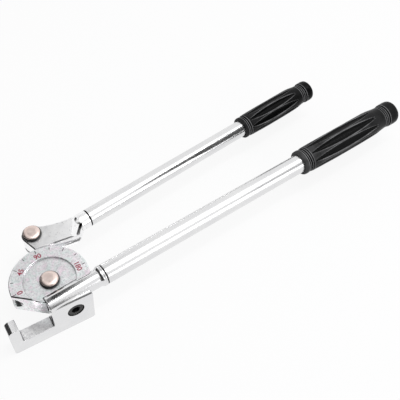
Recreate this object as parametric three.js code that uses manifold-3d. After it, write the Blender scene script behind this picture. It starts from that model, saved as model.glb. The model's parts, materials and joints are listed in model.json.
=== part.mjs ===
// Hand bender for 12.7 mm tube: a grooved forming wheel with a degree scale, clamped on a form handle
// whose body carries the tube hook, and a bending shoe on a second handle, which a link swings round
// the wheel. It is modelled as photographed, with the shoe at the 90 degree mark of the scale.
// Millimetres. +Z points up out of the scale face, +X from the wheel's axis to the 180 degree mark.
// The origin is the centre of the flat crown on the centre pin's head, on the wheel's axis.
import * as THREE from 'three';
import { mergeVertices } from 'three/addons/utils/BufferGeometryUtils.js';
import Module from 'manifold-3d';

const wasm = await Module();
wasm.setup();

const degree = Math.PI / 180;
const fullTurn = 2 * Math.PI;

// Tube that is bent, and the clearances between pieces
const workTubeRadius = 6.35;
const grooveClearance = 0.15;
const seatGap = 0.3;
const overrun = 2;
const mergeDistance = 1e-4;

// Forming wheel
const bendRadius = 38.6;
const rimLip = 0.6;
const wheelThickness = 22.6;
const rimChamfer = 1;
const recessRadius = 26;
const recessDepth = 2;
const recessFillet = 0.6;

// Form body: round shank, clamp block, hook arm and tooth
const formYaw = 5 * degree;
const formAxisOffset = 20.2;
const formAxisDrop = 9;
const shankRadius = 9.4;
const shankTail = 14.6;
const shankEndChamfer = 0.8;
const collarRadius = 11;
const collarLength = 3.4;
const collarNeckLength = 2.6;
const collarRimOffset = 1.8;
const blockFrontOffset = 31;
const blockDepth = 13;
const blockLeft = 12.6;
const blockRight = 30.7;
const blockTopDrop = 5.5;
const blockRightLean = 2.4;
const blockShoulderRadius = 4.5;
const blockCornerRadius = 3;
const armTopDrop = 21.7;
const armHeight = 16;
const armFillet = 2.4;
const toothThickness = 10.8;
const toothRise = 2.1;
const toothNoseRadius = 7.4;
const toothTipRadius = 1.6;
const toothClearance = 0.3;
const bodyBevel = 0.7;

// Clamp screw through the block into the wheel's boss
const screwX = 11;
const screwDrop = 13.7;
const screwRadius = 5;
const screwHeadRadius = 8.1;
const screwHeadHeight = 6.4;
const screwHeadChamfer = 0.7;
const screwSocketWidth = 8;
const screwSocketDepth = 4.2;
const screwSocketConeDepth = 1.4;
const screwEndChamfer = 0.8;
const counterboreRadius = 8.7;
const counterboreDepth = 8.9;
const lockWasherRadius = 7.9;
const lockWasherThickness = 1.4;
const lockWasherSplit = 1.2;
const bossWidth = 22;
const bossRearOffset = 12.2;
const bossFoot = 10.6;
const bossCornerRadius = 3;

// Pins, bushes, washers and retaining rings
const pinRadius = 6;
const pinHeadSideHeight = 1.8;
const pinCrownRadius = 3.6;
const centreHeadLip = 3.7;
const centreHeadHeight = 4.7;
const linkHeadLip = 3.5;
const linkHeadHeight = 4.4;
const pinEndChamfer = 0.7;
const pinTail = 2;
const bushWall = 1.5;
const thrustWasherRadius = 10.6;
const thrustWasherThickness = 1;
const endWasherRadius = 9.4;
const endWasherThickness = 1.5;
const ringThickness = 1.2;
const ringGrooveDepth = 0.9;
const ringWidth = 2.2;
const ringBore = 0.15;
const ringLugRadius = 2.1;
const ringLugHoleRadius = 0.75;
const ringMouthHalfAngle = 24 * degree;

// Link below the wheel
const linkThickness = 7.5;
const linkOutlineTurn = 60 * degree;
const linkHubRadius = 11.5;
const linkEndRadius = 10.2;
const linkWaistRadius = 8.8;
const linkBevel = 0.8;

const linkAngle = 84.3 * degree;

// Bending shoe, whose groove is square to the link
const shoePinOffset = 22.2;
const shoeThickness = 16;
const shoeLipGap = 1.9;
const shoeHeadRadius = 10.7;
const shoeHeadTurn = 50 * degree;
const shoeHeelLength = 2.6;
const shoeLipLength = 37.5;
const shoeToeLength = 45.8;
const shoeToeRise = 3.8;
const shoeWaistLength = 38;
const shoeWaistHeight = 3;
const shoeShoulderLength = 51.5;
const shoeShoulderHeight = 5.6;
const shoeNeckFootHeight = 6.5;
const shoeBevel = 0.7;
const shoeRampStart = 37.1;
const shoeRampTurn = 22 * degree;
const shoeRampRun = 8;
const shoeRampDrop = 4.2;
const shoeHandleYaw = 13.7 * degree;
const shoeAxisOffset = 12.1;
const shoeNeckStart = 41;
const shoeNeckChamfer = 3.4;
const shoeNeckTaper = 6;
const shoeTubeStart = 57.5;

// Handle tubes and the spigots and cross pins that hold them
const formTubeRadius = 10.6;
const formTubeWall = 1.6;
const shoeTubeRadius = 9.4;
const shoeTubeWall = 1.5;
const spigotLength = 34;
const spigotChamfer = 1.2;
const crossPinRadius = 2;
const crossPinLength = 9;
const crossPinInset = 13;
const tubeEdgeChamfer = 0.35;

// Rubber grips: where each starts along its handle, and its size
const formGripStart = 300.4;
const formGripLength = 145;
const formGripRadius = 15.6;
const shoeGripStart = 270.1;
const shoeGripLength = 107.6;
const shoeGripRadius = 13.7;
const gripEndWall = 5;
const fluteCount = 9;
const fluteDepth = 1.1;
const fluteFullness = 0.6;
const stepsPerFlute = 4;
// Outer radius of a grip along its length, both as shares of the grip's own length and greatest radius
const gripProfileShares = [
  [0, 0.885], [0.012, 0.925], [0.034, 0.925], [0.042, 0.895], [0.067, 0.94], [0.13, 0.962],
  [0.24, 0.985], [0.36, 1], [0.5, 1], [0.62, 0.99], [0.71, 0.977], [0.765, 0.95], [0.82, 0.88],
  [0.886, 0.84], [0.898, 0.9], [0.955, 0.915], [0.984, 0.87], [0.998, 0.72],
];
const fluteStartShare = 0.067;
const fluteEndShare = 0.765;

// Facets
const fineSegments = 60;
const roundSegments = 32;
const smallSegments = 12;
const tinySegments = 8;
const grooveSegments = 10;

// Places worked out from the sizes above; heights are measured from the scale face
const midPlane = -wheelThickness / 2;
const grooveRadius = workTubeRadius + grooveClearance;
const crownRise = centreHeadHeight + seatGap - recessDepth;
const linkTop = -wheelThickness - thrustWasherThickness - 2 * seatGap;
const linkBottom = linkTop - linkThickness;
const endWasherTop = linkBottom - seatGap;
const ringTop = endWasherTop - endWasherThickness - seatGap;
const pinEnd = ringTop - ringThickness - pinTail;
const rimRadius = bendRadius + rimLip;
const formTubeStart = rimRadius + collarRimOffset + collarNeckLength + collarLength;
const centreHeadRadius = pinRadius + centreHeadLip;
const linkHeadRadius = pinRadius + linkHeadLip;
const formAxisHeight = -formAxisDrop;
const linkLength = bendRadius + shoePinOffset;
const shoeTop = midPlane + shoeThickness / 2;
const shoeBottom = midPlane - shoeThickness / 2;
const shoeLip = shoeLipGap + rimLip - shoePinOffset;
const screwHeight = formAxisHeight - screwDrop;
const armTop = midPlane - armTopDrop;
const blockBottom = armTop - armHeight;
const toothFace = bendRadius + workTubeRadius + toothClearance;

// Solids

function solidOf(geometry) {
  const bare = geometry.clone();
  bare.deleteAttribute('normal');
  bare.deleteAttribute('uv');
  const merged = mergeVertices(bare, mergeDistance);
  const index = merged.index.array;
  const triangles = [];
  for (let corner = 0; corner < index.length; corner += 3) {
    const [a, b, c] = index.slice(corner, corner + 3);
    if (a !== b && b !== c && c !== a) {
      triangles.push(a, b, c);
    }
  }
  const mesh = new wasm.Mesh({
    numProp: 3,
    vertProperties: Float32Array.from(merged.attributes.position.array),
    triVerts: Uint32Array.from(triangles),
  });
  return new wasm.Manifold(mesh);
}

function geometryOf(solid) {
  const mesh = solid.getMesh();
  const geometry = new THREE.BufferGeometry();
  geometry.setAttribute('position', new THREE.BufferAttribute(mesh.vertProperties, 3));
  geometry.setIndex(new THREE.BufferAttribute(mesh.triVerts, 1));
  return geometry;
}

function combine(geometry, added, removed) {
  let solid = solidOf(geometry);
  for (const piece of added) {
    solid = solid.add(solidOf(piece));
  }
  for (const tool of removed) {
    solid = solid.subtract(solidOf(tool));
  }
  return geometryOf(solid);
}

// Turns a profile of [radius, height] points about the Z axis
function turned(profile, segments = roundSegments) {
  const points = profile.map(([radius, height]) => new THREE.Vector2(radius, height));
  return new THREE.LatheGeometry(points, segments).rotateX(Math.PI / 2);
}

// A closed ring section is turned without touching the axis
function turnedRing(profile, segments = roundSegments) {
  return turned([...profile, profile[0]], segments);
}

function rod(radius, low, high, segments = roundSegments) {
  return new THREE.CylinderGeometry(radius, radius, high - low, segments)
    .rotateX(Math.PI / 2)
    .translate(0, 0, (low + high) / 2);
}

function ringSolid(inner, outer, low, high) {
  return turnedRing([[inner, low], [outer, low], [outer, high], [inner, high]]);
}

// Lays a piece that was turned about Z along +X
function alongX(geometry) {
  return geometry.rotateY(Math.PI / 2);
}

// Extrudes a plan outline between two heights, with bevelled edges inside the outline
function slab(shape, low, high, bevel, curveSegments = 6) {
  const geometry = new THREE.ExtrudeGeometry(shape, {
    depth: high - low - 2 * bevel,
    bevelEnabled: bevel > 0,
    bevelThickness: bevel,
    bevelSize: bevel,
    bevelOffset: -bevel,
    bevelSegments: 1,
    curveSegments,
  });
  return geometry.translate(0, 0, low + bevel);
}

// An outline of [x, y, corner radius] points with its corners rounded
function roundedOutline(corners) {
  const shape = new THREE.Shape();
  const count = corners.length;
  corners.forEach(([x, y, radius = 0], index) => {
    const corner = new THREE.Vector2(x, y);
    const before = new THREE.Vector2(...corners[(index + count - 1) % count]);
    const after = new THREE.Vector2(...corners[(index + 1) % count]);
    const towardsBefore = before.sub(corner).normalize();
    const towardsAfter = after.sub(corner).normalize();
    const halfAngle = Math.acos(THREE.MathUtils.clamp(towardsBefore.dot(towardsAfter), -1, 1)) / 2;
    const reach = radius / Math.tan(halfAngle);
    const start = corner.clone().addScaledVector(towardsBefore, reach);
    const end = corner.clone().addScaledVector(towardsAfter, reach);
    if (index === 0) {
      shape.moveTo(start.x, start.y);
    } else {
      shape.lineTo(start.x, start.y);
    }
    if (radius > 0) {
      shape.quadraticCurveTo(corner.x, corner.y, end.x, end.y);
    }
  });
  shape.closePath();
  return shape;
}

function finish(color, roughness, metalness) {
  return new THREE.MeshStandardMaterial({ color, roughness, metalness, flatShading: true });
}

const zincFace = () => finish(0xbdbec2, 0.42, 0.9);
const chrome = () => finish(0xdfe2e6, 0.12, 1);
const satinSteel = () => finish(0xc9cbce, 0.35, 0.9);
const coppered = () => finish(0xe0bfae, 0.3, 0.85);
const blackOxide = () => finish(0x17181a, 0.45, 0.6);
const bronze = () => finish(0xb08a4e, 0.4, 0.9);
const rubber = () => finish(0x141416, 0.7, 0);

function part(name, geometry, material) {
  const mesh = new THREE.Mesh(geometry, material);
  mesh.name = name;
  return mesh;
}

// Forming wheel

function wheelProfile() {
  const profile = [[pinRadius + seatGap, -wheelThickness]];
  profile.push([rimRadius - rimChamfer, -wheelThickness]);
  profile.push([rimRadius, rimChamfer - wheelThickness]);
  profile.push([rimRadius, midPlane - grooveRadius]);
  for (let step = 0; step <= grooveSegments; step += 1) {
    const angle = Math.PI * (step / grooveSegments - 0.5);
    profile.push([bendRadius - grooveRadius * Math.cos(angle), midPlane + grooveRadius * Math.sin(angle)]);
  }
  profile.push([rimRadius, midPlane + grooveRadius]);
  profile.push([rimRadius, -rimChamfer]);
  profile.push([rimRadius - rimChamfer, 0]);
  profile.push([recessRadius, 0]);
  profile.push([recessRadius, recessFillet - recessDepth]);
  profile.push([recessRadius - recessFillet, -recessDepth]);
  profile.push([pinRadius + seatGap, -recessDepth]);
  return profile;
}

// Point on the form handle's axis, a distance along it from the foot of the wheel's axis
function formAxisPoint(along) {
  const point = new THREE.Vector2(along, -formAxisOffset);
  return point.rotateAround(new THREE.Vector2(), formYaw);
}

// The wheel ends on a straight cut from the 0 degree mark to the shank's tail, and at the block's back
function wheelTrimShape() {
  const reach = rimRadius + blockFrontOffset;
  const mark = new THREE.Vector2(-rimRadius, 0);
  const tail = formAxisPoint(-shankTail - seatGap);
  const outward = mark.clone().sub(tail).normalize().multiplyScalar(overrun).add(mark);
  const back = blockDepth - blockFrontOffset + seatGap;
  const shape = new THREE.Shape();
  shape.moveTo(outward.x, outward.y);
  shape.lineTo(-reach, outward.y);
  shape.lineTo(-reach, -reach);
  shape.lineTo(reach, -reach);
  shape.lineTo(reach, back);
  shape.lineTo(-blockLeft - seatGap, back);
  shape.lineTo(-blockLeft - seatGap, tail.y);
  shape.lineTo(tail.x, tail.y);
  shape.closePath();
  return shape;
}

function shankClearance() {
  return alongX(rod(shankRadius + seatGap, -shankTail - seatGap, bendRadius + blockFrontOffset))
    .translate(0, -formAxisOffset, formAxisHeight)
    .rotateZ(formYaw);
}

// Cylinder along +Y on the clamp screw's axis
function screwHole(radius, front, rear, segments = roundSegments) {
  return rod(radius, front, rear, segments)
    .rotateX(-Math.PI / 2)
    .translate(screwX, 0, screwHeight);
}

function wheelBoss() {
  const half = bossWidth / 2;
  const foot = screwHeight - bossFoot;
  const outline = roundedOutline([
    [screwX - half, foot, bossCornerRadius],
    [screwX + half, foot, bossCornerRadius],
    [screwX + half, midPlane],
    [screwX - half, midPlane],
  ]);
  return slab(outline, 0, blockFrontOffset - blockDepth - bossRearOffset - seatGap, 0)
    .rotateX(Math.PI / 2)
    .translate(0, -bossRearOffset, 0);
}

function formingWheel() {
  const trim = slab(wheelTrimShape(), -wheelThickness - overrun, overrun, 0);
  const disc = combine(turnedRing(wheelProfile(), fineSegments), [], [trim]);
  const hole = screwHole(screwRadius + seatGap, -blockFrontOffset, bossRearOffset - bossFoot);
  const geometry = combine(disc, [wheelBoss()], [shankClearance(), hole]);
  return part('forming_wheel', geometry, zincFace());
}

// Form body and its clamp screw

function shankProfile() {
  const spigotRadius = formTubeRadius - formTubeWall - seatGap;
  const spigotEnd = formTubeStart + spigotLength;
  return [
    [0, -shankTail],
    [shankRadius - shankEndChamfer, -shankTail],
    [shankRadius, -shankTail + shankEndChamfer],
    [shankRadius, formTubeStart - collarLength - collarNeckLength],
    [(shankRadius + collarRadius) / 2, formTubeStart - collarLength - collarNeckLength / 4],
    [collarRadius, formTubeStart - collarLength],
    [collarRadius, formTubeStart - tubeEdgeChamfer],
    [collarRadius - tubeEdgeChamfer, formTubeStart],
    [spigotRadius, formTubeStart],
    [spigotRadius, spigotEnd - spigotChamfer],
    [spigotRadius - spigotChamfer, spigotEnd],
    [0, spigotEnd],
  ];
}

// Front view of the block, the arm under the work tube and the tooth that backs it
function hookOutline() {
  const toothBack = toothFace + toothThickness;
  const toothTop = midPlane + toothRise;
  return roundedOutline([
    [-toothBack, blockBottom, blockCornerRadius],
    [blockRight - blockRightLean, blockBottom, blockCornerRadius],
    [blockRight, -blockTopDrop, blockCornerRadius],
    [-blockLeft, -blockTopDrop],
    [-blockLeft, armTop, armFillet],
    [-toothFace, armTop, armFillet],
    [-toothFace, toothTop, toothTipRadius],
    [-toothBack, toothTop, toothNoseRadius],
  ]);
}

// What the rounded shoulder leaves off the block's upper front edge
function shoulderCut() {
  const low = -blockTopDrop - blockShoulderRadius;
  const back = blockShoulderRadius - blockFrontOffset;
  const section = new THREE.Shape();
  section.moveTo(back, overrun - blockTopDrop);
  section.lineTo(back, -blockTopDrop);
  section.absarc(back, low, blockShoulderRadius, Math.PI / 2, Math.PI, false);
  section.lineTo(-blockFrontOffset - overrun, low);
  section.lineTo(-blockFrontOffset - overrun, overrun - blockTopDrop);
  section.closePath();
  return slab(section, -blockLeft - overrun, blockRight + overrun, 0)
    .rotateX(Math.PI / 2)
    .rotateZ(Math.PI / 2);
}

function crossPinHole(start) {
  return rod(crossPinRadius + seatGap, -crossPinLength - overrun, 0, smallSegments)
    .translate(start + crossPinInset, 0, 0);
}

function formBody() {
  const hook = slab(hookOutline(), 0, blockDepth, bodyBevel)
    .rotateX(Math.PI / 2)
    .translate(0, blockDepth - blockFrontOffset, 0);
  const pinHole = crossPinHole(formTubeStart)
    .translate(0, -formAxisOffset, formAxisHeight)
    .rotateZ(formYaw);
  const shank = alongX(turned(shankProfile()))
    .translate(0, -formAxisOffset, formAxisHeight)
    .rotateZ(formYaw);
  const block = combine(hook, [], [shoulderCut()]);
  const geometry = combine(block, [shank], [
    pinHole,
    screwHole(counterboreRadius, -blockFrontOffset - overrun, counterboreDepth - blockFrontOffset),
    screwHole(screwRadius + seatGap, -blockFrontOffset, -bossRearOffset),
  ]);
  return part('form_body', geometry, chrome());
}

// The screw's own axis is local Z, its head's face at the top
function clampScrew() {
  const length = counterboreDepth - lockWasherThickness - 2 * seatGap - blockFrontOffset + bossRearOffset;
  const profile = [
    [0, length],
    [screwRadius - screwEndChamfer, length],
    [screwRadius, length + screwEndChamfer],
    [screwRadius, 0],
    [screwHeadRadius, 0],
    [screwHeadRadius, screwHeadHeight - screwHeadChamfer],
    [screwHeadRadius - screwHeadChamfer, screwHeadHeight],
    [0, screwHeadHeight],
  ];
  const cornerRadius = screwSocketWidth / Math.sqrt(3);
  const floor = screwHeadHeight - screwSocketDepth;
  const socket = rod(cornerRadius, floor, screwHeadHeight + overrun, 6);
  const cone = turned([
    [0, floor - screwSocketConeDepth],
    [screwSocketWidth / 2, floor + seatGap],
    [0, floor + seatGap],
  ], smallSegments);
  const geometry = combine(turned(profile), [], [socket, cone]);
  const screw = part('clamp_screw', geometry, blackOxide());
  const seat = counterboreDepth - lockWasherThickness - 2 * seatGap - blockFrontOffset;
  screw.position.set(screwX, seat, screwHeight);
  screw.rotation.x = Math.PI / 2;
  return screw;
}

function lockWasher() {
  const washer = ringSolid(screwRadius + seatGap, lockWasherRadius, 0, lockWasherThickness);
  const split = new THREE.BoxGeometry(lockWasherRadius, lockWasherSplit, lockWasherThickness + 2 * overrun)
    .translate(screwRadius + lockWasherRadius / 2, 0, lockWasherThickness / 2);
  const mesh = part('lock_washer', combine(washer, [], [split]), blackOxide());
  mesh.position.set(screwX, counterboreDepth - seatGap - blockFrontOffset, screwHeight);
  mesh.rotation.x = Math.PI / 2;
  return mesh;
}

// Handle tubes, cross pins and grips; each is laid along +X on its own handle's axis

function handleTube(name, outer, wall, start, end) {
  const inner = outer - wall;
  const profile = [
    [inner, start + seatGap],
    [outer - tubeEdgeChamfer, start + seatGap],
    [outer, start + seatGap + tubeEdgeChamfer],
    [outer, end],
    [inner, end],
  ];
  const geometry = combine(alongX(turnedRing(profile)), [], [crossPinHole(start)]);
  return part(name, geometry, chrome());
}

function crossPin(name, outer, start) {
  const low = seatGap - outer;
  const high = low + crossPinLength - 2 * seatGap;
  const profile = [
    [0, low],
    [crossPinRadius - tubeEdgeChamfer, low],
    [crossPinRadius, low + tubeEdgeChamfer],
    [crossPinRadius, high],
    [0, high],
  ];
  const pin = part(name, turned(profile, smallSegments), satinSteel());
  pin.position.x = start + crossPinInset;
  return pin;
}

// Flutes are deepest half way along and fade to points at both ends
function fluteCut(share, angle) {
  const span = (share - fluteStartShare) / (fluteEndShare - fluteStartShare);
  if (span <= 0 || span >= 1) {
    return 0;
  }
  const swell = Math.sin(Math.PI * span) ** fluteFullness;
  return fluteDepth * swell * (1 - Math.cos(fluteCount * angle)) / 2;
}

// A sleeve with a blind bore: rings of points from the bore's floor, out of its mouth and over the end
function gripGeometry(boreRadius, boreLength, radius, length) {
  const around = fluteCount * stepsPerFlute;
  const rings = [[boreLength, () => boreRadius], [0, () => boreRadius]];
  for (const [share, radiusShare] of gripProfileShares) {
    rings.push([share * length, (angle) => radiusShare * radius - fluteCut(share, angle)]);
  }
  const points = [boreLength, 0, 0];
  for (const [along, radiusAt] of rings) {
    for (let step = 0; step < around; step += 1) {
      const angle = fullTurn * step / around;
      const ringRadius = radiusAt(angle);
      points.push(along, ringRadius * Math.cos(angle), ringRadius * Math.sin(angle));
    }
  }
  points.push(length, 0, 0);
  const last = points.length / 3 - 1;
  const index = [];
  for (let step = 0; step < around; step += 1) {
    const next = (step + 1) % around;
    index.push(0, 1 + next, 1 + step);
    for (let ring = 0; ring + 1 < rings.length; ring += 1) {
      const here = 1 + ring * around;
      const there = here + around;
      index.push(here + step, there + next, there + step, here + step, here + next, there + next);
    }
    index.push(last, last - around + step, last - around + next);
  }
  const geometry = new THREE.BufferGeometry();
  geometry.setAttribute('position', new THREE.Float32BufferAttribute(points, 3));
  geometry.setIndex(index);
  return geometry;
}

function grip(name, tubeRadius, start, length, radius) {
  const geometry = gripGeometry(tubeRadius + seatGap, length - gripEndWall, radius, length);
  const mesh = part(name, geometry, rubber());
  mesh.position.x = start;
  return mesh;
}

function formHandle() {
  const handle = new THREE.Group();
  const tubeEnd = formGripStart + formGripLength - gripEndWall - seatGap;
  handle.add(handleTube('form_tube', formTubeRadius, formTubeWall, formTubeStart, tubeEnd));
  handle.add(crossPin('form_tube_pin', formTubeRadius, formTubeStart));
  handle.add(grip('form_grip', formTubeRadius, formGripStart, formGripLength, formGripRadius));
  const foot = formAxisPoint(0);
  handle.position.set(foot.x, foot.y, formAxisHeight);
  handle.rotation.z = formYaw;
  return handle;
}

// Pins and what is stacked on them

function pinGeometry(headRadius, headHeight, headBase) {
  const ringFoot = ringTop - ringThickness;
  const grooveRoot = pinRadius - ringGrooveDepth;
  const halfGap = seatGap / 2;
  const profile = [
    [0, pinEnd],
    [pinRadius - pinEndChamfer, pinEnd],
    [pinRadius, pinEnd + pinEndChamfer],
    [pinRadius, ringFoot - halfGap],
    [grooveRoot, ringFoot - halfGap],
    [grooveRoot, ringTop + halfGap],
    [pinRadius, ringTop + halfGap],
    [pinRadius, headBase],
    [headRadius, headBase],
    [headRadius, headBase + pinHeadSideHeight],
  ];
  const domeHeight = headHeight - pinHeadSideHeight;
  const domeSteps = 4;
  for (let step = 1; step <= domeSteps; step += 1) {
    const angle = Math.PI / 2 * step / domeSteps;
    const radius = pinCrownRadius + (headRadius - pinCrownRadius) * Math.cos(angle);
    profile.push([radius, headBase + pinHeadSideHeight + domeHeight * Math.sin(angle)]);
  }
  profile.push([0, headBase + headHeight]);
  return turned(profile);
}

// External retaining ring: an open ring with an eyed lug at each side of its mouth
function retainingRing(name) {
  const inner = pinRadius - ringGrooveDepth + ringBore;
  const outer = inner + ringWidth;
  const middle = (inner + outer) / 2;
  const lugCentre = middle + ringLugRadius / 2;
  const ring = new THREE.Shape();
  ring.absarc(0, 0, outer, ringMouthHalfAngle, fullTurn - ringMouthHalfAngle, false);
  ring.absarc(0, 0, inner, fullTurn - ringMouthHalfAngle, ringMouthHalfAngle, true);
  ring.closePath();
  const low = ringTop - ringThickness;
  const lugs = [];
  const eyes = [];
  for (const side of [-1, 1]) {
    const angle = side * ringMouthHalfAngle;
    const place = [lugCentre * Math.cos(angle), lugCentre * Math.sin(angle), 0];
    lugs.push(rod(ringLugRadius, low, ringTop, smallSegments).translate(...place));
    eyes.push(rod(ringLugHoleRadius, low - overrun, ringTop + overrun, tinySegments).translate(...place));
  }
  const bore = rod(inner, low - overrun, ringTop + overrun);
  const geometry = combine(slab(ring, low, ringTop, 0, smallSegments), lugs, [bore, ...eyes]);
  return part(name, geometry, satinSteel());
}

// Washer and retaining ring under the link on either pin
function pinRetainers(prefix) {
  const low = endWasherTop - endWasherThickness;
  const washer = ringSolid(pinRadius + seatGap, endWasherRadius, low, endWasherTop);
  return [
    part(`${prefix}_pin_washer`, washer, satinSteel()),
    retainingRing(`${prefix}_pin_ring`),
  ];
}

function thrustWasher(name) {
  const high = -wheelThickness - seatGap;
  const geometry = ringSolid(pinRadius + seatGap, thrustWasherRadius, high - thrustWasherThickness, high);
  return part(name, geometry, satinSteel());
}

function bush(name, low, high) {
  const inner = pinRadius + seatGap;
  return part(name, ringSolid(inner, inner + bushWall, low, high), bronze());
}

function centrePin() {
  const geometry = pinGeometry(centreHeadRadius, centreHeadHeight, seatGap - recessDepth);
  return part('centre_pin', geometry, coppered());
}

// Link, in its own frame: the wheel's axis at the origin and the shoe's pin along +X

function linkOutline() {
  const shape = new THREE.Shape();
  const waist = linkLength / 2;
  const turn = linkOutlineTurn;
  shape.absarc(0, 0, linkHubRadius, turn, fullTurn - turn, false);
  const endStart = new THREE.Vector2(
    linkLength + linkEndRadius * Math.cos(Math.PI - turn),
    -linkEndRadius * Math.sin(Math.PI - turn),
  );
  shape.quadraticCurveTo(waist, -linkWaistRadius, endStart.x, endStart.y);
  shape.absarc(linkLength, 0, linkEndRadius, turn - Math.PI, Math.PI - turn, false);
  const hubEnd = [linkHubRadius * Math.cos(turn), linkHubRadius * Math.sin(turn)];
  shape.quadraticCurveTo(waist, linkWaistRadius, ...hubEnd);
  return shape;
}

function linkPlate() {
  const bushBore = pinRadius + bushWall + 2 * seatGap;
  const geometry = combine(slab(linkOutline(), linkBottom, linkTop, linkBevel, smallSegments), [], [
    rod(bushBore, linkBottom - overrun, linkTop + overrun),
    rod(pinRadius + seatGap, linkBottom - overrun, linkTop + overrun).translate(linkLength, 0, 0),
  ]);
  return part('link_plate', geometry, satinSteel());
}

function linkAssembly() {
  const link = new THREE.Group();
  link.add(linkPlate(), bush('link_bush', linkBottom, linkTop));
  const atShoe = new THREE.Group();
  const pin = part('shoe_pin', pinGeometry(linkHeadRadius, linkHeadHeight, shoeTop + seatGap), coppered());
  atShoe.add(pin, thrustWasher('shoe_thrust_washer'), ...pinRetainers('shoe'));
  atShoe.position.x = linkLength;
  link.add(atShoe);
  link.rotation.z = linkAngle;
  return link;
}

// Bending shoe, in its own frame: its pin at the origin, its groove along +X below the pin

function shoeAxisHeight(along) {
  const onAxis = -shoeAxisOffset / Math.cos(shoeHandleYaw);
  return onAxis + along * Math.tan(shoeHandleYaw);
}

// Plan outline: round head about the pin, heel, straight lip, toe, shoulder under the neck, hollow back
function shoeOutline() {
  const heel = new THREE.Vector2(-shoeHeelLength, shoeLip);
  const tangentAngle = Math.atan2(heel.y, heel.x) - Math.acos(shoeHeadRadius / heel.length());
  const headX = shoeHeadRadius * Math.cos(shoeHeadTurn);
  const headY = shoeHeadRadius * Math.sin(shoeHeadTurn);
  const shape = new THREE.Shape();
  shape.moveTo(heel.x, heel.y);
  shape.lineTo(shoeLipLength, shoeLip);
  shape.quadraticCurveTo(shoeToeLength - shoeToeRise, shoeLip, shoeToeLength, shoeLip + shoeToeRise);
  shape.lineTo(shoeShoulderLength, shoeAxisHeight(shoeShoulderLength) - shoeNeckFootHeight);
  shape.lineTo(shoeShoulderLength, shoeShoulderHeight);
  shape.bezierCurveTo(shoeWaistLength, shoeWaistHeight, shoeWaistLength / 2, shoeWaistHeight, headX, headY);
  shape.absarc(0, 0, shoeHeadRadius, shoeHeadTurn, tangentAngle + fullTurn, false);
  shape.closePath();
  return shape;
}

// Wedge above a slope that leads down and outward from the end of the flat top
function shoeRamp() {
  const reach = shoeShoulderLength;
  const slope = new THREE.Shape();
  slope.moveTo(0, 0);
  slope.lineTo(reach, -reach * shoeRampDrop / shoeRampRun);
  slope.lineTo(reach, overrun);
  slope.lineTo(0, overrun);
  slope.closePath();
  return slab(slope, -reach, reach, 0)
    .rotateX(Math.PI / 2)
    .rotateZ(-shoeRampTurn)
    .translate(shoeRampStart, shoeLip, shoeTop);
}

function shoeNeckProfile() {
  const spigotRadius = shoeTubeRadius - shoeTubeWall - seatGap;
  const spigotEnd = shoeTubeStart + spigotLength;
  return [
    [0, shoeNeckStart],
    [shoeTubeRadius - shoeNeckChamfer, shoeNeckStart],
    [shoeTubeRadius, shoeNeckStart + shoeNeckTaper],
    [shoeTubeRadius, shoeTubeStart - tubeEdgeChamfer],
    [shoeTubeRadius - tubeEdgeChamfer, shoeTubeStart],
    [spigotRadius, shoeTubeStart],
    [spigotRadius, spigotEnd - spigotChamfer],
    [spigotRadius - spigotChamfer, spigotEnd],
    [0, spigotEnd],
  ];
}

// Moves what lies along +X onto the shoe handle's axis
function ontoShoeAxis(geometry) {
  return geometry.translate(0, -shoeAxisOffset, midPlane).rotateZ(shoeHandleYaw);
}

function bendingShoe() {
  const bushBore = pinRadius + bushWall + 2 * seatGap;
  const plate = combine(slab(shoeOutline(), shoeBottom, shoeTop, shoeBevel, smallSegments), [], [shoeRamp()]);
  const boss = rod(shoeHeadRadius - shoeBevel, -wheelThickness, midPlane);
  const groove = alongX(rod(grooveRadius, -shoeLipLength, 2 * shoeLipLength))
    .translate(0, -shoePinOffset, midPlane);
  const neck = ontoShoeAxis(alongX(turned(shoeNeckProfile())));
  const blank = combine(plate, [neck, boss], [groove]);
  const geometry = combine(blank, [], [
    rod(bushBore, -wheelThickness - overrun, overrun),
    ontoShoeAxis(crossPinHole(shoeTubeStart)),
  ]);
  return part('bending_shoe', geometry, satinSteel());
}

function shoeAssembly() {
  const shoe = new THREE.Group();
  shoe.add(bendingShoe(), bush('shoe_bush', -wheelThickness, shoeTop));
  const handle = new THREE.Group();
  const tubeEnd = shoeGripStart + shoeGripLength - gripEndWall - seatGap;
  handle.add(handleTube('shoe_tube', shoeTubeRadius, shoeTubeWall, shoeTubeStart, tubeEnd));
  handle.add(crossPin('shoe_tube_pin', shoeTubeRadius, shoeTubeStart));
  handle.add(grip('shoe_grip', shoeTubeRadius, shoeGripStart, shoeGripLength, shoeGripRadius));
  const foot = new THREE.Vector2(0, -shoeAxisOffset).rotateAround(new THREE.Vector2(), shoeHandleYaw);
  handle.position.set(foot.x, foot.y, midPlane);
  handle.rotation.z = shoeHandleYaw;
  shoe.add(handle);
  shoe.position.set(linkLength * Math.cos(linkAngle), linkLength * Math.sin(linkAngle), 0);
  shoe.rotation.z = linkAngle - Math.PI / 2;
  return shoe;
}

const bender = new THREE.Group();
bender.add(formingWheel(), formBody(), clampScrew(), lockWasher(), formHandle());
bender.add(centrePin(), thrustWasher('centre_thrust_washer'), ...pinRetainers('centre'));
bender.add(linkAssembly(), shoeAssembly());
bender.position.z = -crownRise;

export default bender;
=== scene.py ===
import json
import math

import bmesh
import bpy
from mathutils import Matrix, Vector


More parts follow.
